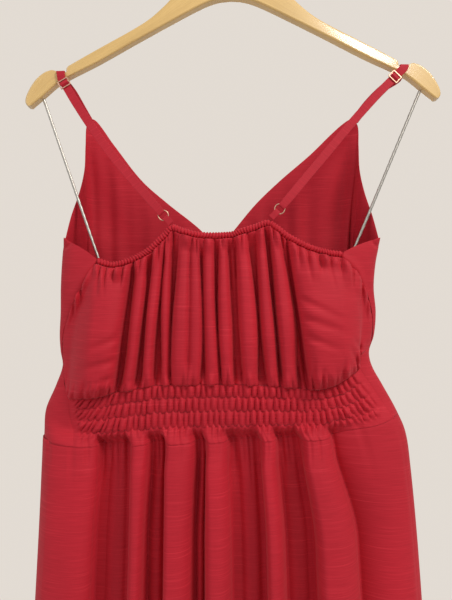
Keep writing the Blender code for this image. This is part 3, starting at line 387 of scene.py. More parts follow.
BACK_TUCKS = [
    Tuck(-0.1850, 0.0045, 0.0010, 0.030),
    Tuck(-0.1610, 0.0055, 0.0012, 0.045),
    Tuck(-0.1460, 0.0040, 0.0016, 0.030),
    Tuck(-0.1340, 0.0038, 0.0022, 0.055),
    Tuck(-0.1245, 0.0032, 0.0026, 0.034),
    Tuck(-0.1150, 0.0034, 0.0022, 0.060),
    Tuck(-0.1060, 0.0030, 0.0026, 0.040),
    Tuck(-0.0905, 0.0026, 0.0014, 0.022),
    Tuck(-0.0735, 0.0032, 0.0026, 0.045),
    Tuck(-0.0665, 0.0026, 0.0020, 0.030),
    Tuck(-0.0490, 0.0030, 0.0012, 0.026),
    Tuck(-0.0385, 0.0024, 0.0014, 0.020),
    Tuck(-0.0225, 0.0026, 0.0022, 0.036),
    Tuck(-0.0070, 0.0028, 0.0012, 0.024),
    Tuck(0.0085, 0.0030, 0.0026, 0.060),
    Tuck(0.0180, 0.0030, 0.0020, 0.040),
    Tuck(0.0255, 0.0026, 0.0024, 0.070),
    Tuck(0.0445, 0.0024, 0.0014, 0.024),
    Tuck(0.0625, 0.0030, 0.0026, 0.050),
    Tuck(0.0715, 0.0034, 0.0022, 0.036),
    Tuck(0.0960, 0.0034, 0.0014, 0.030),
    Tuck(0.1080, 0.0036, 0.0014, 0.040),
    Tuck(0.1290, 0.0050, 0.0012, 0.050),
    Tuck(0.1560, 0.0060, 0.0010, 0.060),
]
FRONT_TUCKS = [
    Tuck(-0.1780, 0.0050, 0.0012, 0.040),
    Tuck(-0.1560, 0.0040, 0.0020, 0.034),
    Tuck(-0.1380, 0.0036, 0.0026, 0.060),
    Tuck(-0.1240, 0.0032, 0.0024, 0.040),
    Tuck(-0.1060, 0.0030, 0.0016, 0.028),
    Tuck(-0.0880, 0.0032, 0.0026, 0.055),
    Tuck(-0.0740, 0.0030, 0.0022, 0.038),
    Tuck(-0.0490, 0.0028, 0.0014, 0.026),
    Tuck(-0.0290, 0.0030, 0.0026, 0.050),
    Tuck(-0.0130, 0.0030, 0.0024, 0.042),
    Tuck(0.0090, 0.0030, 0.0014, 0.026),
    Tuck(0.0260, 0.0030, 0.0024, 0.044),
    Tuck(0.0430, 0.0032, 0.0026, 0.058),
    Tuck(0.0650, 0.0030, 0.0014, 0.028),
    Tuck(0.0840, 0.0032, 0.0026, 0.050),
    Tuck(0.1010, 0.0032, 0.0022, 0.038),
    Tuck(0.1240, 0.0034, 0.0014, 0.030),
    Tuck(0.1430, 0.0036, 0.0024, 0.052),
    Tuck(0.1660, 0.0050, 0.0012, 0.036),
]

# V-neck front: upper edge of each half from the foot of the V up to the strap, down the
# armhole and round to the back
FrontEdge = namedtuple("FrontEdge", "share x y drop")
FRONT_TOP_LEFT = [
    FrontEdge(0.00, -0.0115, 0.0410, 0.3700),
    FrontEdge(0.08, -0.0350, 0.0390, 0.3460),
    FrontEdge(0.19, -0.0688, 0.0350, 0.3195),
    FrontEdge(0.29, -0.0985, 0.0300, 0.2936),
    FrontEdge(0.41, -0.1282, 0.0210, 0.2556),
    FrontEdge(0.48, -0.1470, 0.0150, 0.2310),
    FrontEdge(0.52, -0.1552, 0.0125, 0.2370),
    FrontEdge(0.56, -0.1562, 0.0105, 0.2600),
    FrontEdge(0.62, -0.1568, 0.0080, 0.2870),
    FrontEdge(0.68, -0.1615, 0.0050, 0.3120),
    FrontEdge(0.74, -0.1695, 0.0020, 0.3380),
    FrontEdge(0.80, -0.1750, 0.0000, 0.3620),
]
FRONT_TOP_RIGHT = [
    FrontEdge(0.00, -0.0112, 0.0410, 0.3700),
    FrontEdge(0.08, 0.0081, 0.0395, 0.3460),
    FrontEdge(0.17, 0.0307, 0.0360, 0.3193),
    FrontEdge(0.27, 0.0585, 0.0310, 0.2932),
    FrontEdge(0.37, 0.0890, 0.0245, 0.2679),
    FrontEdge(0.48, 0.1300, 0.0150, 0.2315),
    FrontEdge(0.52, 0.1402, 0.0125, 0.2370),
    FrontEdge(0.56, 0.1410, 0.0105, 0.2600),
    FrontEdge(0.62, 0.1416, 0.0080, 0.2870),
    FrontEdge(0.68, 0.1462, 0.0050, 0.3120),
    FrontEdge(0.74, 0.1540, 0.0020, 0.3380),
    FrontEdge(0.80, 0.1600, 0.0000, 0.3620),
]
FLAP_TOP_LEFT = [
    Point(-0.1710, 0.3640),
    Point(-0.1645, 0.3680),
    Point(-0.1549, 0.3725),
    Point(-0.1449, 0.3785),
    Point(-0.1365, 0.3850),
]
FLAP_TOP_RIGHT = [
    Point(0.1555, 0.3635),
    Point(0.1477, 0.3660),
    Point(0.1380, 0.3690),
    Point(0.1270, 0.3735),
    Point(0.1172, 0.3785),
]
FLAP_COLUMNS = [0.84, 0.88, 0.92, 0.96, 1.0]
SIDE_SHARE = 0.80
CENTRE_FRONT = -0.0113
FRONT_GATHER_LIFT = 0.0025
FRONT_GATHERS = 5
FRONT_LOOSE_LIFT = 0.00055

# Wrapped side of each front half: its sag and wave, and a small knob and groove at its corner
FLAP_SAG = 0.0016
FLAP_WAVE = 0.0010
CORNER_LIFT = 0.0034
CORNER_REACH = 0.0075
CORNER_GROOVE = 0.0022
GROOVE_PLACE = 0.010
GROOVE_WIDTH = 0.0022

# Straps, sliders and rings
STRAP_WIDTH = 0.0086
STRAP_THICKNESS = 0.0010
RING_RADIUS = 0.0051
RING_WIRE = 0.00062
SLIDER_PITCH = 0.0042
SLIDER_BAR = 0.0012
SLIDER_SIDE = 0.0012
SLIDER_THICKNESS = 0.0012
SLIDER_CORNER = 0.0010
SLIDER_EDGE = 0.00028
TAB_WIDTH = 0.0070
TURN_RADIUS = 0.0014
TURN_STEPS = 6
STRAP_TURN_PLACE = 0.0036
TAB_TURN_PLACE = 0.0038
STRAP_STEP = 0.0022
STRAP_DOUBLED = 0.0019
AWAY = Vector((0.0, 1.0, 0.0))
Pass = namedtuple("Pass", "along depth")
SLIDER_WEAVE = [
    Pass(-0.0068, 0.0011),
    Pass(-0.0052, 0.00135),
    Pass(-0.0032, 0.00135),
    Pass(-0.00095, -0.00135),
    Pass(0.00095, -0.00135),
    Pass(0.0032, 0.00135),
    Pass(0.0052, 0.00135),
    Pass(0.0100, 0.0006),
]
SLIDER_RETURN = [
    Pass(0.0100, 0.0027),
    Pass(0.0052, 0.0030),
    Pass(0.0032, 0.0030),
    Pass(0.0012, 0.0019),
    Pass(0.0003, 0.0016),
]
Over = namedtuple("Over", "y x drop")
OVER_WOOD = [
    Over(0.0090, 0.1795, 0.1910),
    Over(0.0078, 0.1813, 0.1860),
    Over(0.0068, 0.1820, 0.1827),
    Over(0.0045, 0.1820, 0.1823),
]
Way = namedtuple("Way", "x y drop")
LEFT_STRAP_FRONT = [
    Way(-0.1525, 0.0137, 0.2333),
    Way(-0.1600, 0.0120, 0.2200),
    Way(-0.1690, 0.0098, 0.2040),
]
LEFT_STRAP_BACK = [
    Way(-0.1611, -0.0135, 0.2205),
    Way(-0.1448, -0.0172, 0.2455),
    Way(-0.1234, -0.0216, 0.2752),
    Way(-0.1022, -0.0265, 0.3015),
    Way(-0.0812, -0.0300, 0.3255),
]
LEFT_SLIDER = Way(-0.1736, -0.0098, 0.1999)
LEFT_RING = Way(-0.0670, -0.0300, 0.3420)
LEFT_TAB = Way(-0.0590, -0.0300, 0.3505)
RIGHT_STRAP_FRONT = [
    Way(0.1373, 0.0136, 0.2320),
    Way(0.1520, 0.0118, 0.2130),
    Way(0.1680, 0.0098, 0.1975),
]
RIGHT_STRAP_BACK = [
    Way(0.1524, -0.0140, 0.2159),
    Way(0.1257, -0.0175, 0.2460),
    Way(0.0992, -0.0218, 0.2780),
    Way(0.0800, -0.0262, 0.3010),
    Way(0.0640, -0.0300, 0.3205),
]
RIGHT_SLIDER = Way(0.1745, -0.0098, 0.1930)
RIGHT_RING = Way(0.0513, -0.0300, 0.3355)
RIGHT_TAB = Way(0.0424, -0.0300, 0.3449)

# Hanger: half of its outline from the middle out, before it is tilted
TILT = math.radians(1.1)
WOOD_THICKNESS = 0.012
HANGER_TOP = [
    Point(0.0000, 0.0680),
    Point(0.0140, 0.0690),
    Point(0.0260, 0.0740),
    Point(0.0400, 0.0850),
    Point(0.0520, 0.0970),
    Point(0.0635, 0.1070),
    Point(0.0700, 0.1136),
    Point(0.0860, 0.1273),
    Point(0.1050, 0.1390),
    Point(0.1300, 0.1523),
    Point(0.1550, 0.1657),
    Point(0.1745, 0.1765),
]
HANGER_NOTCH = [
    Point(0.1762, 0.1785),
    Point(0.1766, 0.1826),
    Point(0.1772, 0.1835),
    Point(0.1868, 0.1835),
    Point(0.1876, 0.1826),
    Point(0.1884, 0.1810),
]
HANGER_END = [
    Point(0.1920, 0.1800),
    Point(0.1990, 0.1822),
    Point(0.2075, 0.1885),
    Point(0.2130, 0.1952),
    Point(0.2170, 0.2020),
    Point(0.2198, 0.2085),
    Point(0.2205, 0.2140),
    Point(0.2185, 0.2178),
    Point(0.2145, 0.2180),
]
HANGER_UNDERSIDE = [
    Point(0.2020, 0.2080),
    Point(0.1840, 0.1935),
    Point(0.1410, 0.1720),
    Point(0.1000, 0.1500),
    Point(0.0620, 0.1300),
    Point(0.0300, 0.1140),
    Point(0.0140, 0.1085),
    Point(0.0000, 0.1070),
]
HOOK_WIRE = 0.0019
HOOK_INNER_RADIUS = 0.018
HOOK_OPENING_ANGLE = math.radians(205)
HOOK_END_ANGLE = math.radians(-58)
BAR_WIRE = 0.00165
RIB_PITCH = 0.0085
RIB_DEPTH = 0.05
BAR_BEND = 0.010
BAR_TOP_LEFT = Way(-0.1980, 0.0, 0.2134)
BAR_LOW_LEFT = Way(-0.1330, 0.0, 0.4030)
BAR_LOW_RIGHT = Way(0.1235, 0.0, 0.3980)
BAR_TOP_RIGHT = Way(0.2040, 0.0, 0.2042)

# Lights: where each stands, the place they all face, and what two of them have of another's power
LIT_PLACE = (0.0, 0.0, -0.45)
KEY_PLACE = (1.15, -1.05, 1.00)
GLOSS_PLACE = (0.60, -1.79, 0.68)
FILL_PLACE = (-1.50, -1.30, 0.50)
FRONT_LIGHT_PLACE = (0.6, 2.2, 0.5)
GLOSS_SHARE = 0.34
FRONT_LIGHT_SHARE = 1.6
WARM_WHITE = (1.0, 0.98, 0.95)


class DressSettings(bpy.types.PropertyGroup):
    """Cloth of the dress."""

    colour: bpy.props.FloatVectorProperty(
        name="Cloth colour", description="Colour of the crepe where light falls on it",
        subtype="COLOR", size=3, min=0.0, max=1.0, default=(0.610, 0.0155, 0.0340))
    deep_colour: bpy.props.FloatVectorProperty(
        name="Thin threads", description="Colour of the crepe between its thicker threads",
        subtype="COLOR", size=3, min=0.0, max=1.0, default=(0.510, 0.0100, 0.0240))
    slub_length: bpy.props.FloatProperty(
        name="Slub length", description="Length of a thick place in a thread",
        unit="LENGTH", min=0.002, max=0.1, default=0.026)
    slub_height: bpy.props.FloatProperty(
        name="Slub height", description="Height of a thick place in a thread",
        unit="LENGTH", min=0.0002, max=0.01, default=0.0008)
    wall: bpy.props.FloatProperty(
        name="Cloth thickness", description="Thickness of the cloth as it shows at an edge",
        unit="LENGTH", min=0.0002, max=0.002, default=0.0006)
    hem_height: bpy.props.FloatProperty(
        name="Hem height", description="Height of the turned hem",
        unit="LENGTH", min=0.005, max=0.05, default=0.018)


class TrimSettings(bpy.types.PropertyGroup):
    """Straps, their hardware and the stitches."""

    strap_colour: bpy.props.FloatVectorProperty(
        name="Strap colour", description="Colour of the folded straps",
        subtype="COLOR", size=3, min=0.0, max=1.0, default=(0.570, 0.0155, 0.0330))
    metal_colour: bpy.props.FloatVectorProperty(
        name="Metal colour", description="Colour of the rings and sliders",
        subtype="COLOR", size=3, min=0.0, max=1.0, default=(0.72, 0.42, 0.30))
    stitch_length: bpy.props.FloatProperty(
        name="Stitch length", description="Length of one stitch",
        unit="LENGTH", min=0.001, max=0.01, default=0.0024)
    stitch_gap: bpy.props.FloatProperty(
        name="Stitch gap", description="Gap between two stitches",
        unit="LENGTH", min=0.0002, max=0.01, default=0.0010)


class HangerSettings(bpy.types.PropertyGroup):
    """The hanger."""

    wood_colour: bpy.props.FloatVectorProperty(
        name="Wood colour", description="Colour of the pale wood",
        subtype="COLOR", size=3, min=0.0, max=1.0, default=(0.890, 0.590, 0.215))
    grain_colour: bpy.props.FloatVectorProperty(
        name="Grain colour", description="Colour of the darker grain",
        subtype="COLOR", size=3, min=0.0, max=1.0, default=(0.740, 0.450, 0.150))
    steel_colour: bpy.props.FloatVectorProperty(
        name="Steel colour", description="Colour of the hook and the trouser bar",
        subtype="COLOR", size=3, min=0.0, max=1.0, default=(0.52, 0.49, 0.44))
    edge: bpy.props.FloatProperty(
        name="Rounded edge", description="Radius of the board's rounded edges",
        unit="LENGTH", min=0.0005, max=0.004, default=0.0022)


class StageSettings(bpy.types.PropertyGroup):
    """Camera, lights and floor."""

    camera_place: bpy.props.FloatVectorProperty(
        name="Camera", description="Where the camera stands, level with the dress's neckline",
        subtype="TRANSLATION", size=3, default=(-0.0033, -0.60, -0.428))
    focal_share: bpy.props.FloatProperty(
        name="Focal share", description="Focal length over the width of the frame",
        min=0.5, max=5.0, default=561.0 / 452.0)
    floor_drop: bpy.props.FloatProperty(
        name="Floor", description="How far the floor lies below the hook",
        unit="LENGTH", min=1.6, max=3.0, default=1.70)
    key_power: bpy.props.FloatProperty(
        name="Key light", description="Power of the main light",
        subtype="POWER", min=0.0, max=500.0, default=23.0)
    fill_power: bpy.props.FloatProperty(
        name="Fill light", description="Power of the soft fill light",
        subtype="POWER", min=0.0, max=500.0, default=8.0)
    sky: bpy.props.FloatProperty(
        name="Sky", description="Strength of the even light from all round",
        min=0.0, max=5.0, default=0.47)
    background: bpy.props.FloatVectorProperty(
        name="Background", description="Colour behind the dress",
        subtype="COLOR", size=3, min=0.0, max=1.0, default=(0.765, 0.710, 0.650))


# Curves and sections
def curve_value(rows, key, column, place):
    """Value of one column at a place along the key column, on a smooth curve through the rows."""
    keys = [getattr(row, key) for row in rows]
    values = [getattr(row, column) for row in rows]
    place = min(max(place, keys[0]), keys[-1])
    index = min(bisect_right(keys, place) - 1, len(rows) - 2)
    step = keys[index + 1] - keys[index]
    share = (place - keys[index]) / step

    def slope(at):
        low = max(at - 1, 0)
        high = min(at + 1, len(rows) - 1)
        return (values[high] - values[low]) / (keys[high] - keys[low]) * step

    rise = values[index + 1] - values[index]
    start = slope(index)
    end = slope(index + 1)
    bend = share * share * (3.0 - 2.0 * share)
    swing = share * (1.0 - share) ** 2 * start - share ** 2 * (1.0 - share) * end
    return values[index] + rise * bend + swing


def eased_value(rows, key, column, place):
    """Value of one column, eased between two rows, so it never overshoots."""
    keys = [getattr(row, key) for row in rows]
    place = min(max(place, keys[0]), keys[-1])
    index = min(bisect_right(keys, place) - 1, len(rows) - 2)
    share = (place - keys[index]) / (keys[index + 1] - keys[index])
    start = getattr(rows[index], column)
    end = getattr(rows[index + 1], column)
    return start + (end - start) * (1.0 - math.cos(math.pi * share)) / 2.0


def mix(start, end, share):
    """Point or number that lies a share of the way from start to end."""
    return start + (end - start) * share


def smooth_share(value, start, end):
    """0 before start and 1 after end, eased between them."""
    share = min(max((value - start) / (end - start), 0.0), 1.0)
    return share * share * (3.0 - 2.0 * share)


def section_middle(drop):
    """Middle and half width of the dress at a level."""
    left = curve_value(SECTIONS, "drop", "left", drop)
    right = curve_value(SECTIONS, "drop", "right", drop)
    return (left + right) / 2.0, (right - left) / 2.0


def body_depth(x, drop, side, lift=0.0):
    """How far the cloth stands off the hanger's plane, rounded towards the side edges."""
    middle, half = section_middle(drop)
    across = min(abs((x - middle) / half), 1.0)
    column = "back" if side == BACK else "front"
    depth = curve_value(SECTIONS, "drop", column, drop)
    round_off = (1.0 - across ** BEND) ** (1.0 / BEND)
    return side * (depth * round_off + lift * min(1.0, 1.6 * round_off) + SEAM / 2.0)


def body_point(x, drop, side, lift=0.0):
    """Point of the body's surface."""
    return Vector((x, body_depth(x, drop, side, lift), -drop))


def across_to_x(across, drop):
    """Place across the dress, -1 at its left edge and 1 at its right edge, as a length."""
    middle, half = section_middle(drop)
    return middle + half * across


def across_of(x, drop):
    """Place across the dress of a point, -1 at the left edge and 1 at the right edge."""
    middle, half = section_middle(drop)
    return (x - middle) / half


def neckline_drop(x):
    """Level of the back neckline's upper edge."""
    return curve_value(NECKLINE, "x", "drop", x)


def casing_reach(x):
    """Half the casing's height measured straight down, more where the neckline slopes."""
    step = 0.002
    slope = (neckline_drop(x + step) - neckline_drop(x - step)) / (2.0 * step)
    return CASING_RADIUS * math.hypot(1.0, slope)


def under_casing(x):
    """Level of the cloth's upper edge below the casing."""
    return neckline_drop(x) + 2.0 * casing_reach(x) + CASING_SEAM


def waist_top_drop(x):
    """Level of the seam between the gathered back and the shirred waist."""
    return curve_value(WAIST_TOP, "x", "drop", x)


def waist_seam_drop(x):
    """Level of the seam between the shirred waist and the back skirt."""
    return curve_value(WAIST_SEAM, "x", "drop", x)


def front_seam_drop(x):
    """Level of the seam between the front waist panel and the front skirt."""
    left = WAIST_SEAM[0].x
    right = WAIST_SEAM[-1].x
    share = min(max((x - left) / (right - left), 0.0), 1.0)
    sag = 0.012 * math.sin(math.pi * share)
    return mix(FRONT_SEAM_LEFT, FRONT_SEAM_RIGHT, share) + sag


def front_waist_drop(across):
    """Level of the front bodice's lower edge at a place across the front."""
    share = math.acos(-across) / math.pi
    return mix(FRONT_WAIST_TOP_LEFT, FRONT_WAIST_TOP_RIGHT, share) + 0.010 * math.sin(math.pi * share)


# Making sheets, tubes and ribbons
def finish_piece(name, mesh, material, nodes):
    """Puts a mesh in the scene as one piece that stands for the named nodes."""
    data = bpy.data.meshes.new(name)
    mesh.to_mesh(data)
    mesh.free()
    data.materials.append(material)
    data.shade_smooth()
    piece = bpy.data.objects.new(name, data)
    bpy.context.scene.collection.objects.link(piece)
    if nodes:
        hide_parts(*nodes)
    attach(piece, "root")
    return piece


def grid_of(columns, rows, surface, inward=False, level=False):
    """Sheet whose points are surface(column, row), with a UV map in metres; level threads
    follow the true level rather than the rows."""
    mesh = bmesh.new()
    across = len(columns) - 1
    down = len(rows) - 1
    bmesh.ops.create_grid(mesh, x_segments=across, y_segments=down, size=0.5)
    places = {}
    points = {}
    for vert in mesh.verts:
        place = (round((vert.co.x + 0.5) * across), round((0.5 - vert.co.y) * down))
        places[vert] = place
        points[place] = surface(columns[place[0]], rows[place[1]])
    for vert, place in places.items():
        vert.co = points[place]
    width = [0.0]
    for index in range(across):
        width.append(width[-1] + (points[index + 1, down // 2] - points[index, down // 2]).length)
    height = [0.0]
    for index in range(down):
        height.append(height[-1] + (points[across // 2, index + 1] - points[across // 2, index]).length)
    weave = mesh.loops.layers.uv.new("weave")
    for face in mesh.faces:
        for loop in face.loops:
            column, row = places[loop.vert]
            loop[weave].uv = (width[column], -loop.vert.co.z if level else height[row])
    if inward:
        bmesh.ops.reverse_faces(mesh, faces=mesh.faces[:])
    return mesh


def add_wall(piece, thickness, offset=-1.0):
    """Gives a sheet its thickness."""
    wall = piece.modifiers.new("Wall", "SOLIDIFY")
    wall.thickness = thickness
    wall.offset = offset
    wall.use_even_offset = False
    return piece


def tube_of(path, around, radius_at):
    """Closed tube along a path, with radius_at(length along, angle) and a UV map in metres."""
    lengths = [0.0]
    for index in range(len(path) - 1):
        lengths.append(lengths[-1] + (path[index + 1] - path[index]).length)
    angles = [2.0 * math.pi * step / around for step in range(around + 1)]
    angles[-1] = 0.0

    def surface(column, row):
        ahead = path[min(column + 1, len(path) - 1)] - path[max(column - 1, 0)]
        ahead.normalize()
        side = AWAY - ahead * ahead.dot(AWAY)
        side.normalize()
        rise = ahead.cross(side)
        angle = angles[row]
        reach = radius_at(lengths[column], angle)
        return path[column] + (side * math.cos(angle) + rise * math.sin(angle)) * reach

    mesh = grid_of(list(range(len(path))), list(range(around + 1)), surface)
    bmesh.ops.remove_doubles(mesh, verts=mesh.verts[:], dist=0.000001)
    bmesh.ops.holes_fill(mesh, edges=[edge for edge in mesh.edges if edge.is_boundary], sides=around + 2)
    bmesh.ops.recalc_face_normals(mesh, faces=mesh.faces[:])
    return mesh


def crease_depth(creases, x, drop):
    """How far the listed creases press the cloth in at a place."""
    depth = 0.0
    for crease in creases:
        if abs(x - (crease.x + crease.end_x) / 2.0) > abs(crease.x - crease.end_x) / 2.0 + crease.half:
            continue
        run_x = crease.end_x - crease.x
        run_drop = crease.end_drop - crease.drop
        length = math.hypot(run_x, run_drop)
        along = ((x - crease.x) * run_x + (drop - crease.drop) * run_drop) / length
        beside = abs((x - crease.x) * run_drop - (drop - crease.drop) * run_x) / length
        if beside > crease.half or along < -crease.half or along > length + crease.half:
            continue
        share = min(max(along / length, 0.0), 1.0)
        over = max(-along, along - length, 0.0) / crease.half
        fade = (1.0 - share) ** 0.8 * (1.0 - over)
        depth += crease.depth * fade * (0.5 + 0.5 * math.cos(math.pi * beside / crease.half))
    return depth


# Gathered back
def edge_value(rows, column):
    """Place and level of a column in a table of edge rows."""
    return curve_value(rows, "column", "x", column), curve_value(rows, "column", "drop", column)


def beside_seam(seam, columns, inward):
    """Edge rows of the back's columns that start on a seam, a gap to one side of it."""
    return [Edge(column, point.x + inward * SEAM_GAP, point.drop) for column, point in zip(columns, seam)]


def gathered_edge(column, left_rows, right_rows, spread, level_at):
    """Upper or lower end of a column of the gathered back: its place and its level."""
    if column <= left_rows[-1].column:
        return edge_value(left_rows, column)
    if column >= right_rows[0].column:
        return edge_value(right_rows, column)
    start = left_rows[-1]
    end = right_rows[0]
    share = (column - start.column) / (end.column - start.column)
    drift_left = start.x - (GATHER_MIDDLE + (start.column - GATHER_MIDDLE) * spread)
    drift_right = end.x - (GATHER_MIDDLE + (end.column - GATHER_MIDDLE) * spread)
    x = GATHER_MIDDLE + (column - GATHER_MIDDLE) * spread + mix(drift_left, drift_right, share)
    return x, level_at(x)


def bodice_top(column):
    """Where a column of the back starts, under the casing or along the side seam."""
    left = beside_seam(SIDE_SEAM_LEFT[1:], LEFT_COLUMNS, 1) + BACK_TOP_LEFT
    right = BACK_TOP_RIGHT + beside_seam(SIDE_SEAM_RIGHT[:0:-1], RIGHT_COLUMNS, -1)
    x, drop = gathered_edge(column, left, right, NECK_SPREAD, under_casing)
    if NECKLINE[0].x - CASING_RADIUS < x < NECKLINE[-1].x + CASING_RADIUS:
        drop = max(drop, under_casing(x))
    return x, drop


def bodice_low(column):
    """Where a column of the back ends, at the waist."""
    left = beside_seam(WAIST_END_LEFT, LEFT_COLUMNS, 1) + BACK_LOW_LEFT
    right = BACK_LOW_RIGHT + beside_seam(WAIST_END_RIGHT[::-1], RIGHT_COLUMNS[1:], -1)
    x, drop = gathered_edge(column, left, right, WAIST_SPREAD, waist_top_drop)
    if WAIST_TOP[0].x < x < WAIST_TOP[-1].x:
        drop = min(drop, waist_top_drop(x))
    return x, drop - SEAM


class Gathers:
    """Uneven run of short gathers between two places."""

    def __init__(self, start, end, count, seed):
        chance = random.Random(seed)
        self.start = start
        self.end = end
        self.count = count
        self.shifts = [chance.uniform(-0.34, 0.34) for _ in range(count + 2)]
        self.heights = [chance.uniform(0.35, 1.0) for _ in range(count + 2)]
        self.reaches = [chance.uniform(0.011, 0.034) for _ in range(count + 2)]

    def at(self, x):
        """Height of the gather at a place, 0 in a trough and 1 on the highest, and its length."""
        place = (x - self.start) / (self.end - self.start) * self.count
        place = min(max(place, 0.0), float(self.count))
        index = int(place)
        place += mix(self.shifts[index], self.shifts[index + 1], place - index)
        index = int(min(max(place, 0.0), self.count))
        return self.heights[index] * abs(math.sin(math.pi * place)) ** 0.75, self.reaches[index]


def ridge_at(ridges, x, floor, widths=None, drifts=None):
    """Height of a panel's ridges at a place, and how far the place leans over its neighbour."""
    height = floor
    lean = 0.0
    for index, ridge in enumerate(ridges):
        across = x - ridge.x - (drifts[index] if drifts else 0.0)
        half = (ridge.left if across < 0.0 else ridge.right) * (widths[index] if widths else 1.0)
        share = across / half
        if abs(share) >= 1.0:
            continue
        crest = (1.0 - abs(share) ** 2.6) ** ridge.steep
        value = ridge.foot + (ridge.height - ridge.foot) * crest
        if value > height:
            height = value
            lean = ridge.lean * crest
    return height, lean


def deepened(lift, valley):
    """Height of a fold whose valleys are pressed in further than its stations say."""
    return lift - valley * (1.0 - smooth_share(lift, 0.0, FOLD_FOOT))


def make_back_bodice(dress, material):
    """Gathered back between the casing and the shirred waist, with a puff at each side."""
    first, last = BODICE_EDGES
    steps = 350
    columns = [mix(first, last, step / steps) for step in range(steps + 1)]
    rows = [-1.0] + [mix(step / 84, (1.0 - math.cos(math.pi * step / 84)) / 2.0, 0.55) for step in range(85)]
    rows.append(2.0)
    neck = Gathers(first, last, NECK_GATHERS, 11)
    low = Gathers(first, last, LOW_GATHERS, 5)
    ends = {column: (bodice_top(column), bodice_low(column)) for column in columns}
    chance = random.Random(41)
    count = len(BODICE_RIDGES)
    phases = [chance.uniform(0.0, 6.3) for _ in range(count)]
    shapes = {}
    for row in rows:
        narrow = 0.74 + 0.26 * math.sin(math.pi * min(max(row, 0.0), 1.0)) ** 0.6
        widths = []
        drifts = []
        for index in range(count):
            puff = index in (0, count - 1)
            widths.append(1.0 if puff else narrow * (1.0 + 0.10 * math.sin(row * 5.0 + phases[index])))
            drifts.append(BODICE_DRIFT[index] * math.sin(math.pi * (row - 0.5) + phases[index]))
        shapes[row] = (widths, drifts)

    def surface(column, row):
        (top_x, top_drop), (low_x, low_drop) = ends[column]
        if row < 0.0:
            return body_point(top_x, top_drop - TUCKED, BACK, -TUCKED)
        if row > 1.0:
            return body_point(low_x, low_drop + TUCK_REACH, BACK, -TUCKED)
        drop = mix(top_drop, low_drop, row)
        x = mix(top_x, low_x, row)
        height = curve_value(BODICE_RISE, "share", "height", row)
        between = smooth_share(column, -0.1105, -0.1035) * (1.0 - smooth_share(column, 0.0665, 0.0735))
        lift, lean = ridge_at(BODICE_RIDGES, column, BODICE_FLOOR * between, *shapes[row])
        inside = smooth_share(column, first, first + 0.014) * (1.0 - smooth_share(column, last - 0.014, last))
        soft = smooth_share(column, first, first + 0.036) * (1.0 - smooth_share(column, last - 0.040, last))
        lift = lift * height * soft - inside * crease_depth(BODICE_CREASES, x, drop)
        wave, reach = neck.at(column)
        full = NECK_GATHER_LIFT * (1.6 - 0.6 * between)
        lift += inside * full * wave * (1.0 - smooth_share(drop - top_drop, 0.0, reach))
        wave, reach = low.at(column)
        lift += inside * LOW_GATHER_LIFT * wave * (1.0 - smooth_share(low_drop - drop, 0.0, reach * 0.8))
        lift += inside * 0.0006 * math.sin(drop * 95.0 + column * 40.0) * math.sin(math.pi * row)
        slip = 1.0 - smooth_share(column, first, first + 0.004)
        slip -= 1.0 - smooth_share(-column, -last, -last + 0.004)
        return body_point(x + lean * height - 0.0014 * slip, drop, BACK, lift - 0.0009 * abs(slip))

    mesh = grid_of(columns, rows, surface, level=True)
    piece = finish_piece("back_bodice_cloth", mesh, material, ["back_bodice"])
    add_wall(piece, dress.wall)
    return piece


def make_casing(material):
    """Elastic casing along the back neckline, drawn into fine cross gathers."""
    start = NECKLINE[0].x
    end = NECKLINE[-1].x
    steps = CASING_GATHERS * 7
    path = []
    for step in range(steps + 1):
        x = mix(start, end, step / steps)
        path.append(body_point(x, neckline_drop(x) + casing_reach(x), BACK, -0.0006))
    total = sum((path[index + 1] - path[index]).length for index in range(steps))
    chance = random.Random(3)
    heights = [chance.uniform(0.40, 0.64) for _ in range(CASING_GATHERS + 2)]

    def radius_at(along, angle):
        twist = CASING_TWIST * math.sin(angle + 2.0 * math.sin(along * 61.0))
        place = along / total * CASING_GATHERS + twist
        pinch = abs(math.sin(math.pi * place)) ** 0.7
        return CASING_RADIUS * (1.12 - heights[int(min(max(place, 0.0), CASING_GATHERS))] * (1.0 - pinch))

    piece = finish_piece("back_casing_cloth", tube_of(path, 14, radius_at), material,
                         ["back_casing"])
    return piece


# Shirred waist
def shirred_point(column, row, lift):
    """Point of the shirred panel; column and row run from 0 to 1."""
    top_x = mix(SHIRRED_LEFT[0], SHIRRED_RIGHT[0], column)
    low_x = mix(SHIRRED_LEFT[1], SHIRRED_RIGHT[1], column)
    top = waist_top_drop(top_x) + SEAM
    low = waist_seam_drop(low_x) - SEAM
    return body_point(mix(top_x, low_x, row), mix(top, low, row), BACK, lift)


def tuck_depth(tucks, x, below):
    """How far the short tucks of a waist seam press the skirt in, at a distance below it."""
    depth = 0.0
    for tuck in tucks:
        if abs(x - tuck.x) < tuck.half and below < tuck.length:
            fade = 1.0 - smooth_share(below, 0.0, tuck.length)
            depth += tuck.depth * fade * (0.5 + 0.5 * math.cos(math.pi * (x - tuck.x) / tuck.half))
    return depth


def back_fold(x):
    """Height of the back skirt's folds at a place, and how far they lean there."""
    return ridge_at(BACK_SKIRT_RIDGES, x, SKIRT_FLOOR)


def front_fold(x):
    """Height of the front skirt's folds at a place, and how far they lean there."""
    lift = curve_value(FRONT_SKIRT_STATIONS, "x", "lift", x)
    return deepened(lift, SKIRT_VALLEY), eased_value(FRONT_SKIRT_STATIONS, "x", "lean", x)


def softened(fold_at, place):
    """Height of the skirt's folds where the waist seam evens out their sides."""
    return sum(fold_at(place + step * 0.0006)[0] for step in range(-3, 4)) / 7.0


def seat_of(drifts, across):
    """Place of a skirt's fold, at the level its ridges are given for, from where it is sewn."""
    middle, half = section_middle(SKIRT_FOLD_DROP)
    return curve_value(drifts, "top", "x", middle + half * across)


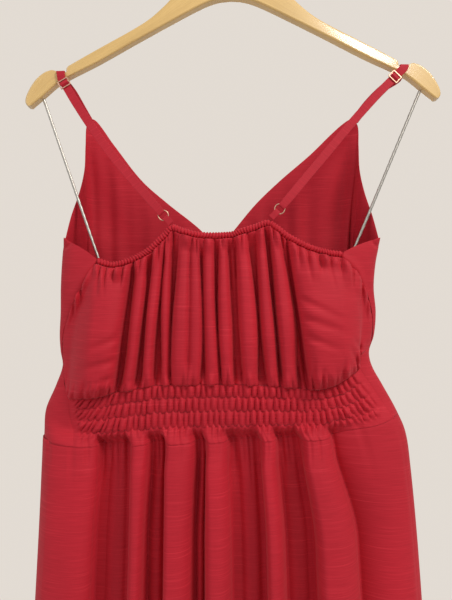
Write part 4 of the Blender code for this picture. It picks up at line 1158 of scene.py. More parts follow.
def seam_lift(fold_at, drifts, tucks, across):
    """Height of the skirt's folds at a place across the waist seam."""
    seat = seat_of(drifts, across)
    return SKIRT_RISE[0].height * softened(fold_at, seat) - tuck_depth(tucks, seat, 0.0)


def flared(fold, row):
    """Part of a skirt fold that shows at a height of the waist panels, crests before valleys."""
    start = 0.64 if fold > 0.0 else 0.72
    return fold * smooth_share(row, start, 1.0)


def pucker_slant(x):
    """How far a pucker of the shirred waist slants sideways for each length down."""
    return 0.75 * smooth_share(x, 0.075, 0.150) - 0.80 * smooth_share(-x, 0.085, 0.160)


def pucker_place(x, band, share):
    """Which pucker of a band a place belongs to, halves being crests."""
    return (x + 0.18 - pucker_slant(x) * (share - 0.5) * 0.013) / PUCKER_PITCH + PUCKER_SHIFTS[band]


def elastic_wave(x, line):
    """How far a drawn row zigzags up from its even line, round the puckers above it."""
    if line == 0:
        return 0.0
    return 0.0011 * math.cos(2.0 * math.pi * pucker_place(x, line - 1, 1.0)) + 0.0005 * math.sin(x * 310.0)


def make_back_waist(dress, material):
    """Shirred waist panel: puckers between four drawn rows, loose gathers below them."""
    steps = 384
    columns = [step / steps for step in range(steps + 1)]
    rows = []
    stops = ELASTIC_ROWS + [1.0]
    for index in range(len(stops) - 1):
        rows += [mix(stops[index], stops[index + 1], step / 12) for step in range(12)]
    rows.append(1.0)
    chance = random.Random(17)
    bands = len(stops) - 1
    count = int(0.37 / PUCKER_PITCH)
    heights = [[chance.uniform(0.50, 1.0) for _ in range(count + 2)] for _ in range(bands)]
    nudges = [[chance.uniform(-0.20, 0.20) for _ in range(count + 2)] for _ in range(bands)]
    folds = {}
    for column in columns:
        low_x = mix(SHIRRED_LEFT[1], SHIRRED_RIGHT[1], column)
        across = across_of(low_x, waist_seam_drop(low_x))
        folds[column] = seam_lift(back_fold, BACK_SKIRT_DRIFT, BACK_TUCKS, across)

    def surface(column, row):
        band = min(bisect_right(stops, row) - 1, bands - 1)
        share = (row - stops[band]) / (stops[band + 1] - stops[band])
        high_x = mix(SHIRRED_LEFT[0], SHIRRED_RIGHT[0], column)
        low_x = mix(SHIRRED_LEFT[1], SHIRRED_RIGHT[1], column)
        x = mix(high_x, low_x, row)
        place = min(max(pucker_place(x, band, share), 0.0), float(count))
        index = int(place)
        place += mix(nudges[band][index], nudges[band][index + 1], place - index)
        index = int(min(max(place, 0.0), count))
        ridge = abs(math.sin(math.pi * place)) ** 0.8
        ends = smooth_share(column, 0.0, 0.035) * (1.0 - smooth_share(column, 0.955, 1.0))
        lift = PUCKER_LIFT * heights[band][index] * ridge * (0.22 + 0.78 * math.sin(math.pi * share) ** 0.5)
        if band == bands - 1:
            lift *= 0.85 * (1.0 - smooth_share(share, 0.10, 0.75))
        slip = 1.0 - smooth_share(column, 0.0, 0.012)
        slip -= 1.0 - smooth_share(-column, -1.0, -0.988)
        drawn = min(1.0, 3.0 * row, 6.0 * (1.0 - row)) * ends
        point = shirred_point(column, row, lift * ends + flared(folds[column], row) - 0.0008 * abs(slip))
        line = mix(elastic_wave(x, band), elastic_wave(x, min(band + 1, bands - 1)), share)
        return point + Vector((-0.0014 * slip, 0.0, drawn * line))

    mesh = grid_of(columns, rows, surface, level=True)
    piece = finish_piece("back_waist_cloth", mesh, material, ["back_waist"])
    add_wall(piece, dress.wall)
    return piece


def side_spot(point, shift):
    """Place across the dress and level of a seam's point on the back, moved a gap along."""
    return Vector((across_of(point.x, point.drop) + shift / 0.17, point.drop))


def through(spots, share):
    """Spot a share of the way along a run of spots."""
    place = min(max(share, 0.0), 1.0) * (len(spots) - 1)
    index = min(int(place), len(spots) - 2)
    return mix(spots[index], spots[index + 1], place - index)


def make_front_waist(dress, material):
    """Plain front waist panel, which wraps round both sides to the shirred back."""
    wraps = 14
    steps = 150
    columns = [step / wraps - 1.0 for step in range(wraps)]
    columns += [step / steps for step in range(steps + 1)]
    columns += [1.0 + (step + 1) / wraps for step in range(wraps)]
    rows = [step / 26 for step in range(27)]

    def ends(sign, row):
        top = WAIST_END_LEFT if sign < 0 else WAIST_END_RIGHT
        low = WAIST_LOW_LEFT if sign < 0 else WAIST_LOW_RIGHT
        edge_low = front_seam_drop(across_to_x(sign, FRONT_SEAM_LEFT)) - SEAM
        spots = [Vector((sign, mix(front_waist_drop(sign) + SEAM, edge_low, row)))]
        for upper, lower in zip(top, low):
            start = side_spot(upper, sign * SEAM_GAP)
            end = side_spot(lower, sign * SEAM_GAP)
            spots.append(mix(start, end, row))
        spots.append(mix(side_spot(top[-1], -sign * TUCK_REACH), side_spot(low[-1], -sign * TUCK_REACH), row))
        return spots

    def surface(column, row):
        if column < 0.0 or column > 1.0:
            sign = -1 if column < 0.0 else 1
            share = -column if sign < 0 else column - 1.0
            spot = through(ends(sign, row), share)
            x = across_to_x(spot.x, spot.y)
            fold = seam_lift(back_fold, BACK_SKIRT_DRIFT, BACK_TUCKS, spot.x)
            lift = flared(fold, row) * smooth_share(share, 0.0, 0.3)
            return body_point(x, spot.y, BACK, lift - TUCKED * smooth_share(share, 0.76, 0.98))
        across = -math.cos(math.pi * column)
        low = front_seam_drop(across_to_x(across, FRONT_SEAM_LEFT)) - SEAM
        drop = mix(front_waist_drop(across) + SEAM, low, row)
        x = across_to_x(across, drop)
        middle = math.sin(math.pi * column)
        lift = 0.0007 * middle * math.sin(column * 41.0 + row * 2.0) * math.sin(math.pi * row)
        fold = seam_lift(front_fold, FRONT_SKIRT_DRIFT, FRONT_TUCKS, across)
        lift += fold * smooth_share(row, 0.45, 1.0)
        return body_point(x, drop, FRONT, lift)

    piece = finish_piece("front_waist_cloth", grid_of(columns, rows, surface, True, True), material,
                         ["front_waist"])
    add_wall(piece, dress.wall)
    return piece


# V-neck front
def drawn_waves(chance, rates, weights):
    """Five waves, each with its rate, its phase and its weight or pace."""
    waves = []
    for _ in range(5):
        rate = chance.uniform(*rates)
        phase = chance.uniform(0.0, 6.3)
        waves.append((rate, phase, chance.uniform(*weights)))
    return waves


def make_front_half(name, sign, top_rows, flap_rows, seam_rows, dress, material):
    """One half of the V-neck front, from the centre round to the end of the back casing."""
    steps = 132
    columns = [SIDE_SHARE * step / steps for step in range(steps + 1)]
    columns += [mix(SIDE_SHARE, 1.0, (step + 1) / 44) for step in range(44)]
    rows = [(step / 62) ** 1.25 for step in range(63)]
    middle, half = section_middle(FRONT_WAIST_TOP)
    centre_across = (CENTRE_FRONT - middle) / half
    chance = random.Random(23 + sign)
    waves = drawn_waves(chance, (34.0, 90.0), (0.3, 1.0))

    def front_low(column):
        share = column / SIDE_SHARE
        across = mix(centre_across, sign, math.sin(share * math.pi / 2.0))
        drop = front_waist_drop(across) - SEAM
        return across_to_x(across, drop), drop

    side_x, side_drop = front_low(SIDE_SHARE)

    def side_run(row):
        spots = [Vector((float(sign), mix(top_rows[-1].drop, side_drop, row)))]
        for index in range(len(FLAP_COLUMNS)):
            low = seam_rows[index]
            gap = SEAM if index == 0 else 0.0
            upper = side_spot(flap_rows[index], sign * SEAM_GAP)
            lower = side_spot(Point(low.x, low.drop - gap), sign * SEAM_GAP)
            spots.append(mix(upper, lower, row))
        over = Point(flap_rows[-1].x, flap_rows[-1].drop + TUCK_REACH)
        beyond = -sign * TUCK_REACH
        spots.append(mix(side_spot(over, beyond), side_spot(seam_rows[-1], beyond), row))
        return spots

    runs = {row: side_run(row) for row in rows}

    def surface(column, row):
        if column > SIDE_SHARE:
            share = (column - SIDE_SHARE) / (1.0 - SIDE_SHARE)
            spot = through(runs[row], share)
            sag = FLAP_SAG * math.sin(math.pi * share) * math.sin(math.pi * row)
            wave = FLAP_WAVE * math.sin(share * 5.0 + row * 4.5)
            wave *= math.sin(math.pi * row)
            wave *= math.sin(math.pi * share)
            under = TUCKED * smooth_share(share, 0.84, 0.99)
            near = math.hypot((share - 0.10) * 0.045, row * 0.13)
            knob = CORNER_LIFT * (1.0 - smooth_share(near, 0.0, CORNER_REACH))
            groove = CORNER_GROOVE * math.exp(-((near - GROOVE_PLACE) / GROOVE_WIDTH) ** 2)
            sag += knob - groove
            return body_point(across_to_x(spot.x, spot.y), spot.y, BACK, sag + wave - under)
        top_x = curve_value(top_rows, "share", "x", column)
        top_y = curve_value(top_rows, "share", "y", column)
        top_drop = curve_value(top_rows, "share", "drop", column)
        low_x, low_drop = front_low(column)
        x = mix(top_x, low_x, row)
        if column == 0.0:
            x = CENTRE_FRONT + sign * SEAM / 2.0
        drop = mix(top_drop, low_drop, row)
        edge_x = across_to_x(sign, mix(top_rows[-1].drop, side_drop, row))
        side = edge_x - mix(top_rows[-1].x, side_x, row)
        x += side * smooth_share(column, 0.6 * SIDE_SHARE, SIDE_SHARE)
        gather = math.cos(2.0 * math.pi * FRONT_GATHERS * column / SIDE_SHARE) - 1.0
        lift = FRONT_GATHER_LIFT * gather * row * (1.0 - column / SIDE_SHARE)
        loose = 2.0 * sum(weight * math.sin(rate * column + phase) for rate, phase, weight in waves)
        edges = smooth_share(column, 0.0, 0.06) * (1.0 - smooth_share(column, 0.66, 0.80))
        lift += FRONT_LOOSE_LIFT * loose * edges * smooth_share(row, 0.02, 0.20)
        settle = smooth_share(row, 0.0, 0.45)
        depth = mix(top_y, body_depth(x, max(drop, 0.362), FRONT), settle) + lift
        return Vector((x, depth, -drop))

    mesh = grid_of(columns, rows, surface, sign > 0, True)
    piece = finish_piece(name + "_cloth", mesh, material, [name])
    add_wall(piece, dress.wall)
    return piece


# Skirt
def make_skirt(name, side, fold_at, drifts, tucks, top_drop, dress, material):
    """Skirt panel from the waist seam to the hem, with its folds widening as they fall."""
    middle, half = section_middle(SKIRT_FOLD_DROP)
    steps = 360
    columns = []
    for step in range(steps + 1):
        even = 2.0 * step / steps - 1.0
        columns.append(mix(even, math.sin(math.pi / 2.0 * even), 0.5))
    rows = [-1.0]
    for step in range(96):
        share = step / 95
        rows.append(0.30 * share + 0.70 * share ** 2.2)
    chance = random.Random(31 + side)
    swings = drawn_waves(chance, (9.0, 30.0), (2.0, 5.0))
    known = {}
    for column in columns:
        x = middle + half * column
        top = (curve_value(drifts, "x", "top", x) - middle) / half
        top = mix(min(max(top, -1.0), 1.0), column, smooth_share(abs(column), 0.90, 1.0))
        known[column] = (x, top, *fold_at(x), seam_lift(fold_at, drifts, tucks, top))

    def surface(column, row):
        x, top, lift, lean, sewn = known[column]
        start = SKIRT_FOLD_DROP
        for _ in range(4):
            start = top_drop(across_to_x(top, start)) + SKIRT_SEAM
        if row < 0.0:
            start -= TUCK_REACH
            return body_point(across_to_x(top, start), start, side, sewn - TUCKED)
        drop = mix(start, HEM_DROP, row)
        place = mix(top, column, smooth_share(drop - start, 0.0, 0.105))
        height = curve_value(SKIRT_RISE, "share", "height", row)
        edge = 1.0 - abs(column) ** 6
        swing = sum(math.sin(rate * column + phase + drop * pace) for rate, phase, pace in swings)
        free = smooth_share(drop - start, 0.0, 0.030)
        fold = lift * height * (1.0 + 0.045 * swing * smooth_share(row, 0.03, 0.30))
        fold += 0.0006 * swing * edge * smooth_share(row, 0.05, 0.5)
        fold = mix(sewn, fold - tuck_depth(tucks, x, drop - start), free)
        shift = lean * height * edge * free
        return body_point(across_to_x(place, drop) + shift, drop, side, fold)

    mesh = grid_of(columns, rows, surface, side == FRONT, True)
    piece = finish_piece(name + "_cloth", mesh, material, [name])
    add_wall(piece, dress.wall)
    return piece


# Straps and hardware
def tilted(x, y, drop):
    """Point of the hanger after it is tilted about the hook's inner top."""
    return Matrix.Rotation(-TILT, 3, "Y") @ Vector((x, y, -drop))


def way_point(way):
    """Row of a route as a point."""
    return Vector((way.x, way.y, -way.drop))


def spot_of(point, across):
    """Point of a strap's route with the direction of its width."""
    return Vector((*point, *across))


def smooth_route(spots, step):
    """Spots about one step apart on a smooth curve through the given ones."""
    route = [spots[0]]
    last = len(spots) - 1
    for index in range(last):
        start = spots[index]
        end = spots[index + 1]
        before = spots[max(index - 1, 0)]
        after = spots[min(index + 2, last)]
        span = (end - start).xyz.length
        lead_in = (end - before) * (span / (end - before).xyz.length)
        lead_out = (after - start) * (span / (after - start).xyz.length)
        count = max(1, round(span / step))
        for tick in range(1, count + 1):
            share = tick / count
            bend = share * share * (3.0 - 2.0 * share)
            spot = mix(start, end, bend) + lead_in * share * (1.0 - share) ** 2
            route.append(spot - lead_out * share ** 2 * (1.0 - share))
    return route


def ribbon_of(route, width_at):
    """Flat strap along a route of spots."""
    points = [Vector(item[0:3]) for item in route]
    sides = []
    faces = []
    for index, item in enumerate(route):
        ahead = points[min(index + 1, len(points) - 1)] - points[max(index - 1, 0)]
        ahead.normalize()
        across = Vector(item[3:6])
        across -= ahead * across.dot(ahead)
        across.normalize()
        sides.append(across)
        faces.append(across.cross(ahead))

    def surface(column, row):
        return points[row] + sides[row] * column * width_at(points[row])

    columns = [-0.5, -0.46, -0.36, -0.18, 0.0, 0.18, 0.36, 0.46, 0.5]
    return grid_of(columns, list(range(len(points))), surface)


def across_way(ahead):
    """Direction of a strap's width where it runs ahead with its face towards -Y."""
    return Vector((ahead.z, 0.0, -ahead.x)).normalized() * (-1.0)


def turn_through(middle, ahead, across):
    """Half turn of a strap round the ring's wire, from its near side to its far side."""
    spots = []
    for step in range(TURN_STEPS + 1):
        angle = math.pi * (step / TURN_STEPS - 0.5)
        point = middle + ahead * TURN_RADIUS * math.cos(angle) + AWAY * TURN_RADIUS * math.sin(angle)
        spots.append(spot_of(point, across))
    return spots


def add_strap_edge(piece):
    """Thickness and rounded edges of a folded strap."""
    add_wall(piece, STRAP_THICKNESS, 0.0)
    edge = piece.modifiers.new("Edge", "BEVEL")
    edge.width = STRAP_THICKNESS * 0.32
    edge.segments = 2
    edge.limit_method = "ANGLE"
    edge.angle_limit = math.radians(50)
    return piece


def make_strap(hand, sign, front, back, slider, ring, material):
    """Strap from the front, over the hanger, down to the ring and back up to the slider."""
    level = Vector((1.0, 0.0, 0.0))
    parts = [spot_of(way_point(way), level) for way in front]
    parts += [spot_of(tilted(sign * over.x, over.y, over.drop), level) for over in OVER_WOOD]
    parts += [spot_of(tilted(sign * over.x, -over.y, over.drop), level) for over in OVER_WOOD[:0:-1]]
    centre = way_point(slider)
    onward = (way_point(back[0]) - centre).normalized()
    across = across_way(onward)
    for step in SLIDER_WEAVE:
        parts.append(spot_of(centre + onward * step.along + AWAY * step.depth, across))
    parts += [spot_of(way_point(way), level) for way in back]
    hole = way_point(ring)
    down = (hole - way_point(back[-1])).normalized()
    parts += turn_through(hole - down * STRAP_TURN_PLACE, down, across_way(down))
    parts += [spot_of(way_point(way) + AWAY * STRAP_DOUBLED, level) for way in reversed(back)]
    for step in SLIDER_RETURN:
        parts.append(spot_of(centre + onward * step.along + AWAY * step.depth, across))

    def width_at(point):
        return mix(TAB_WIDTH, STRAP_WIDTH, min((point - hole).length / 0.016, 1.0))

    route = smooth_route(parts, STRAP_STEP)
    piece = finish_piece("strap_" + hand + "_cloth", ribbon_of(route, width_at), material,
                         ["strap_" + hand])
    add_strap_edge(piece)
    return piece


def make_tab(hand, ring, foot, material):
    """Sewn tab that carries the ring: from the casing up, through the ring and back."""
    hole = way_point(ring)
    base = way_point(foot)
    down = (base - hole).normalized()
    across = across_way(down)
    parts = [spot_of(base - AWAY * TURN_RADIUS, across)]
    parts += turn_through(hole + down * TAB_TURN_PLACE, -down, across)
    parts.append(spot_of(base + AWAY * TURN_RADIUS, across))

    def width_at(point):
        return TAB_WIDTH * 0.9

    route = smooth_route(parts, STRAP_STEP / 2.0)
    piece = finish_piece("ring_tab_" + hand + "_cloth", ribbon_of(route, width_at), material,
                         ["ring_tab_" + hand])
    add_strap_edge(piece)
    return piece


def make_ring(hand, ring, material):
    """Strap ring: round wire in the dress's plane."""
    upright = Matrix.Rotation(math.radians(90), 3, "X")
    mesh = bmesh.new()
    bmesh.ops.create_circle(mesh, segments=12, radius=RING_WIRE)
    bmesh.ops.rotate(mesh, verts=mesh.verts[:], cent=(0, 0, 0), matrix=upright)
    bmesh.ops.translate(mesh, verts=mesh.verts[:], vec=(RING_RADIUS, 0, 0))
    bmesh.ops.spin(mesh, geom=mesh.verts[:] + mesh.edges[:], cent=(0, 0, 0), axis=(0, 0, 1),
                   angle=2.0 * math.pi, steps=48, use_merge=True)
    bmesh.ops.rotate(mesh, verts=mesh.verts[:], cent=(0, 0, 0), matrix=upright)
    bmesh.ops.translate(mesh, verts=mesh.verts[:], vec=way_point(ring))
    bmesh.ops.recalc_face_normals(mesh, faces=mesh.faces[:])
    return finish_piece("ring_" + hand + "_wire", mesh, material, ["ring_" + hand])


def make_slider(hand, slider, toward, material):
    """Strap slider: a flat frame with a bar across its middle and rounded edges."""
    opening = STRAP_WIDTH / 2.0 + 0.0006
    outer_x = opening + SLIDER_SIDE
    outer_y = SLIDER_PITCH + SLIDER_BAR / 2.0
    across = [-outer_x, -opening, opening, outer_x]
    along = [-outer_y, -outer_y + SLIDER_BAR, -SLIDER_BAR / 2.0,
             SLIDER_BAR / 2.0, outer_y - SLIDER_BAR, outer_y]
    mesh = bmesh.new()
    bmesh.ops.create_grid(mesh, x_segments=3, y_segments=5, size=0.5)
    windows = []
    for face in mesh.faces:
        middle = face.calc_center_median()
        if abs(middle.x) < 0.1 and 0.15 < abs(middle.y) < 0.25:
            windows.append(face)
    bmesh.ops.delete(mesh, geom=windows, context="FACES_ONLY")
    for vert in mesh.verts:
        vert.co = (across[round((vert.co.x + 0.5) * 3)], along[round((vert.co.y + 0.5) * 5)],
                   -SLIDER_THICKNESS / 2.0)
    corners = [vert for vert in mesh.verts
               if abs(vert.co.x) > opening + 0.0005 and abs(vert.co.y) > outer_y - 0.0001]
    bmesh.ops.bevel(mesh, geom=corners, offset=SLIDER_CORNER, segments=4, profile=0.5,
                    affect="VERTICES", material=-1)
    made = bmesh.ops.extrude_face_region(mesh, geom=mesh.faces[:])
    lifted = [item for item in made["geom"] if isinstance(item, bmesh.types.BMVert)]
    bmesh.ops.translate(mesh, verts=lifted, vec=(0, 0, SLIDER_THICKNESS))
    bmesh.ops.recalc_face_normals(mesh, faces=mesh.faces[:])
    sharp = [edge for edge in mesh.edges
             if len(edge.link_faces) == 2 and edge.calc_face_angle() > math.radians(60)]
    bmesh.ops.bevel(mesh, geom=sharp, offset=SLIDER_EDGE, segments=2, profile=0.5, affect="EDGES",
                    material=-1, clamp_overlap=True)
    centre = way_point(slider)
    ahead = (way_point(toward) - centre).normalized()
    outward = Vector((0.0, -1.0, 0.0))
    side = ahead.cross(outward).normalized()
    outward = side.cross(ahead).normalized()
    turn = Matrix.Translation(centre) @ Matrix((side, ahead, outward)).transposed().to_4x4()
    bmesh.ops.transform(mesh, matrix=turn, verts=mesh.verts[:])
    return finish_piece("slider_" + hand + "_frame", mesh, material, ["slider_" + hand])


# Hanger
def even_points(points, count):
    """Points an even distance apart along a line of points."""
    lengths = [0.0]
    for index in range(len(points) - 1):
        lengths.append(lengths[-1] + (points[index + 1] - points[index]).length)
    even = []
    for step in range(count + 1):
        along = lengths[-1] * step / count
        index = min(bisect_right(lengths, along) - 1, len(points) - 2)
        share = (along - lengths[index]) / (lengths[index + 1] - lengths[index])
        even.append(mix(points[index], points[index + 1], share))
    return even


def board_stations():
    """Pairs of points on the top and the underside of one arm, from the middle to its tip."""
    top = []
    for step in range(60):
        x = mix(HANGER_TOP[0].x, HANGER_TOP[-1].x, step / 59)
        top.append(Vector((x, curve_value(HANGER_TOP, "x", "drop", x))))
    top += [Vector(point) for point in HANGER_NOTCH]
    ends = [Vector((point.x, 0.0, point.drop, 0.0, 0.0, 0.0)) for point in HANGER_END]
    top += [Vector((item[0], item[2])) for item in smooth_route(ends[:8], 0.0014)]
    low = []
    under = list(reversed(HANGER_UNDERSIDE))
    for step in range(60):
        x = mix(under[0].x, under[-1].x, step / 59)
        low.append(Vector((x, curve_value(under, "x", "drop", x))))
    low.append(Vector(HANGER_END[-1]))
    return list(zip(even_points(top, 190), even_points(low, 190)))


def make_hanger_wood(hanger, material):
    """Shaped arms cut from one board, with a notch for each strap and rounded edges."""
    arm = board_stations()
    stations = [(Vector((-top.x, top.y)), Vector((-low.x, low.y))) for top, low in reversed(arm[1:])] + arm
    corner_steps = 5
    turn = Matrix.Rotation(-TILT, 3, "Y")

    def ring_at(top, low):
        height = (low - top).length
        radius = min(hanger.edge, height * 0.45)
        ring = []
        for quarter, (side, share) in enumerate(((1, 0.0), (1, 1.0), (-1, 1.0), (-1, 0.0))):
            for step in range(corner_steps + 1):
                angle = math.pi / 2.0 * step / corner_steps
                if quarter % 2:
                    angle = math.pi / 2.0 - angle
                inset = radius * (1.0 - math.sin(math.pi / 2.0 - angle))
                y = side * (WOOD_THICKNESS / 2.0 - radius + radius * math.sin(angle))
                along = inset if share == 0.0 else height - inset
                ring.append((along / height, y))
        ring.append(ring[0])
        return ring

    rings = [ring_at(top, low) for top, low in stations]

    def surface(column, row):
        top, low = stations[column]
        share, y = rings[column][row]
        spot = mix(top, low, share)
        return turn @ Vector((spot.x, y, -spot.y))

    mesh = grid_of(list(range(len(stations))), list(range(4 * (corner_steps + 1) + 1)), surface)
    bmesh.ops.remove_doubles(mesh, verts=mesh.verts[:], dist=0.00002)
    bmesh.ops.holes_fill(mesh, edges=[edge for edge in mesh.edges if edge.is_boundary], sides=60)
    bmesh.ops.recalc_face_normals(mesh, faces=mesh.faces[:])
    piece = finish_piece("hanger_wood_board", mesh, material, ["hanger_wood"])
    piece.data.set_sharp_from_angle(angle=math.radians(48))
    flat = piece.modifiers.new("Flat faces", "WEIGHTED_NORMAL")
    flat.keep_sharp = True
    return piece


def make_hook(material):
    """Wire hook: a round crook whose inner top is the origin, on a shank into the wood."""
    radius = HOOK_INNER_RADIUS + HOOK_WIRE
    spots = []
    for step in range(13):
        angle = mix(HOOK_OPENING_ANGLE, HOOK_END_ANGLE, step / 12)
        spots.append(tilted(radius * math.cos(angle), 0.0, HOOK_INNER_RADIUS - radius * math.sin(angle)))
    spots += [tilted(0.0035, 0.0, 0.0412), tilted(0.0008, 0.0, 0.0460), tilted(0.0, 0.0, 0.0520)]
    spots.append(tilted(0.0, 0.0, HANGER_TOP[0].drop - 0.0004))
    route = smooth_route([spot_of(point, (0.0, 0.0, 0.0)) for point in spots], 0.0015)
    path = [Vector(item[0:3]) for item in route]

    def radius_at(along, angle):
        return HOOK_WIRE * min(1.0, 0.55 + along / 0.0026)

    return finish_piece("hanger_hook_wire", tube_of(path, 16, radius_at), material,
                        ["hanger_hook"])


def make_trouser_bar(material):
    """Bent wire bar below the arms, drawn with fine slanting ribs."""
    corners = [way_point(way) for way in (BAR_TOP_LEFT, BAR_LOW_LEFT, BAR_LOW_RIGHT, BAR_TOP_RIGHT)]
    path = []
    bends = []
    for index in (1, 2):
        before = (corners[index - 1] - corners[index]).normalized()
        after = (corners[index + 1] - corners[index]).normalized()
        start = corners[index] + before * BAR_BEND
        end = corners[index] + after * BAR_BEND
        bend = []
        for step in range(17):
            share = step / 16
            bend.append(mix(mix(start, corners[index], share), mix(corners[index], end, share), share))
        bends.append(bend)
    runs = [(corners[0], bends[0][0]), (bends[0][-1], bends[1][0]), (bends[1][-1], corners[3])]
    for index, (start, end) in enumerate(runs):
        count = round((end - start).length / 0.0011)
        path += [mix(start, end, step / count) for step in range(count)]
        if index < 2:
            path += bends[index][:-1]
    path.append(corners[3])

    def radius_at(along, angle):
        rib = math.cos(2.0 * angle - 2.0 * math.pi * along / RIB_PITCH)
        return BAR_WIRE * (1.0 - RIB_DEPTH + RIB_DEPTH * rib)

    return finish_piece("trouser_bar_wire", tube_of(path, 12, radius_at), material,
                        ["trouser_bar"])


# Stitches
def stitch_run(mesh, line, length, gap, radius):
    """Row of stitches along a line of points that lie on the cloth."""
    lengths = [0.0]
    for index in range(len(line) - 1):
        lengths.append(lengths[-1] + (line[index + 1] - line[index]).length)
    place = 0.0
    while place + length < lengths[-1]:
        ends = []
        for along in (place, place + length):
            index = min(bisect_right(lengths, along) - 1, len(line) - 2)
            share = (along - lengths[index]) / (lengths[index + 1] - lengths[index])
            ends.append(mix(line[index], line[index + 1], share))
        ahead = ends[1] - ends[0]
        turn = ahead.to_track_quat("X", "Z").to_matrix().to_4x4()
        made = bmesh.ops.create_cube(mesh, size=1.0)
        bmesh.ops.scale(mesh, verts=made["verts"], vec=(ahead.length, radius * 2.0, radius * 2.0))
        bmesh.ops.transform(mesh, verts=made["verts"],
                            matrix=Matrix.Translation((ends[0] + ends[1]) / 2.0) @ turn)
        place += length + gap


def elastic_line(index):
    """Line along one drawn row of the shirred waist."""
    row = ELASTIC_ROWS[index]
    line = []
    for step in range(481):
        point = shirred_point(mix(0.03, 0.96, step / 480), row, 0.0007)
        line.append(point + Vector((0.0, 0.0, min(1.0, 3.0 * row) * elastic_wave(point.x, index))))
    return line


def hem_line(side, fold_at, drop, lift):
    """Line across a skirt panel at one level, a little proud of its folds."""
    middle, half = section_middle(SKIRT_FOLD_DROP)
    row = (drop - 0.575) / (HEM_DROP - 0.575)
    height = curve_value(SKIRT_RISE, "share", "height", row)
    line = []
    for step in range(241):
        even = 2.0 * step / 240 - 1.0
        fold = fold_at(middle + half * even)[0] * height
        line.append(body_point(across_to_x(even * 0.995, drop), drop, side, fold + lift))
    return line


# Finishes
def new_finish(name):
    """Material with a Principled shader, and its node tree."""
    material = bpy.data.materials.new(name)
    material.use_nodes = True
    return material, material.node_tree.nodes["Principled BSDF"], material.node_tree


def add_noise(tree, source, scale, detail, roughness=0.5):
    """Noise on scaled coordinates."""
    mapping = tree.nodes.new("ShaderNodeMapping")
    mapping.inputs["Scale"].default_value = scale
    noise = tree.nodes.new("ShaderNodeTexNoise")
    noise.inputs["Scale"].default_value = 1.0
    noise.inputs["Detail"].default_value = detail
    noise.inputs["Roughness"].default_value = roughness
    tree.links.new(source, mapping.inputs["Vector"])
    tree.links.new(mapping.outputs["Vector"], noise.inputs["Vector"])
    return noise.outputs["Fac"]


def add_ramp(tree, source, stops):
    """Colour ramp with the given places and colours."""
    ramp = tree.nodes.new("ShaderNodeValToRGB")
    ramp.color_ramp.elements[0].position = stops[0][0]
    ramp.color_ramp.elements[0].color = (*stops[0][1], 1.0)
    ramp.color_ramp.elements[1].position = stops[-1][0]
    ramp.color_ramp.elements[1].color = (*stops[-1][1], 1.0)
    for place, colour in stops[1:-1]:
        stop = ramp.color_ramp.elements.new(place)
        stop.color = (*colour, 1.0)
    tree.links.new(source, ramp.inputs["Fac"])
    return ramp.outputs["Color"]


def add_mix(tree, blend, share, first, second):
    """Mix of two colours; share is a number or an output."""
    node = tree.nodes.new("ShaderNodeMix")
    node.data_type = "RGBA"
    node.blend_type = blend
    if isinstance(share, float):
        node.inputs["Factor"].default_value = share
    else:
        tree.links.new(share, node.inputs["Factor"])
    for socket, value in ((node.inputs[6], first), (node.inputs[7], second)):
        if isinstance(value, tuple):
            socket.default_value = (*value, 1.0)
        else:
            tree.links.new(value, socket)
    return node.outputs[2]


def add_bump(tree, shader, source, strength, distance):
    """Raised relief from a grey value."""
    bump = tree.nodes.new("ShaderNodeBump")
    bump.inputs["Strength"].default_value = strength
    bump.inputs["Distance"].default_value = distance
    tree.links.new(source, bump.inputs["Height"])
    tree.links.new(bump.outputs["Normal"], shader.inputs["Normal"])


def cloth_finish(name, colour, deep, dress):
    """Slub crepe: level threads of uneven thickness with a soft sheen."""
    material, shader, tree = new_finish(name)
    weave = tree.nodes.new("ShaderNodeUVMap")
    weave.uv_map = "weave"
    threads = weave.outputs["UV"]
    slub = add_noise(tree, threads, (1.0 / dress.slub_length, 1.0 / dress.slub_height, 1.0), 2.0, 0.55)
    long_slub = add_noise(tree, threads, (0.35 / dress.slub_length, 0.55 / dress.slub_height, 1.0), 1.0, 0.5)
    crepe = add_noise(tree, threads, (900.0, 1500.0, 1.0), 2.0, 0.6)
    cloud = add_noise(tree, threads, (9.0, 9.0, 1.0), 2.0, 0.5)
    thick = add_ramp(tree, slub, [(0.30, (0.0, 0.0, 0.0)), (0.72, (1.0, 1.0, 1.0))])
    body = add_mix(tree, "MIX", thick, deep, colour)
    light = tuple(min(1.0, channel * 1.12 + 0.010) for channel in colour)
    streak = add_ramp(tree, long_slub, [(0.58, (0.0, 0.0, 0.0)), (0.80, (0.9, 0.9, 0.9))])
    body = add_mix(tree, "MIX", streak, body, light)
    patch = add_ramp(tree, cloud, [(0.30, (0.93, 0.93, 0.93)), (0.70, (1.05, 1.05, 1.05))])
    body = add_mix(tree, "MULTIPLY", 1.0, body, patch)
    tree.links.new(body, shader.inputs["Base Color"])
    relief = add_mix(tree, "MIX", 0.45, thick, crepe)
    add_bump(tree, shader, relief, 0.20, 0.0003)
    shader.inputs["Roughness"].default_value = 0.72
    shader.inputs["Specular IOR Level"].default_value = 0.28
    shader.inputs["Sheen Weight"].default_value = 0.10
    shader.inputs["Sheen Roughness"].default_value = 0.45
    shader.inputs["Sheen Tint"].default_value = (1.0, 0.62, 0.62, 1.0)
    return material


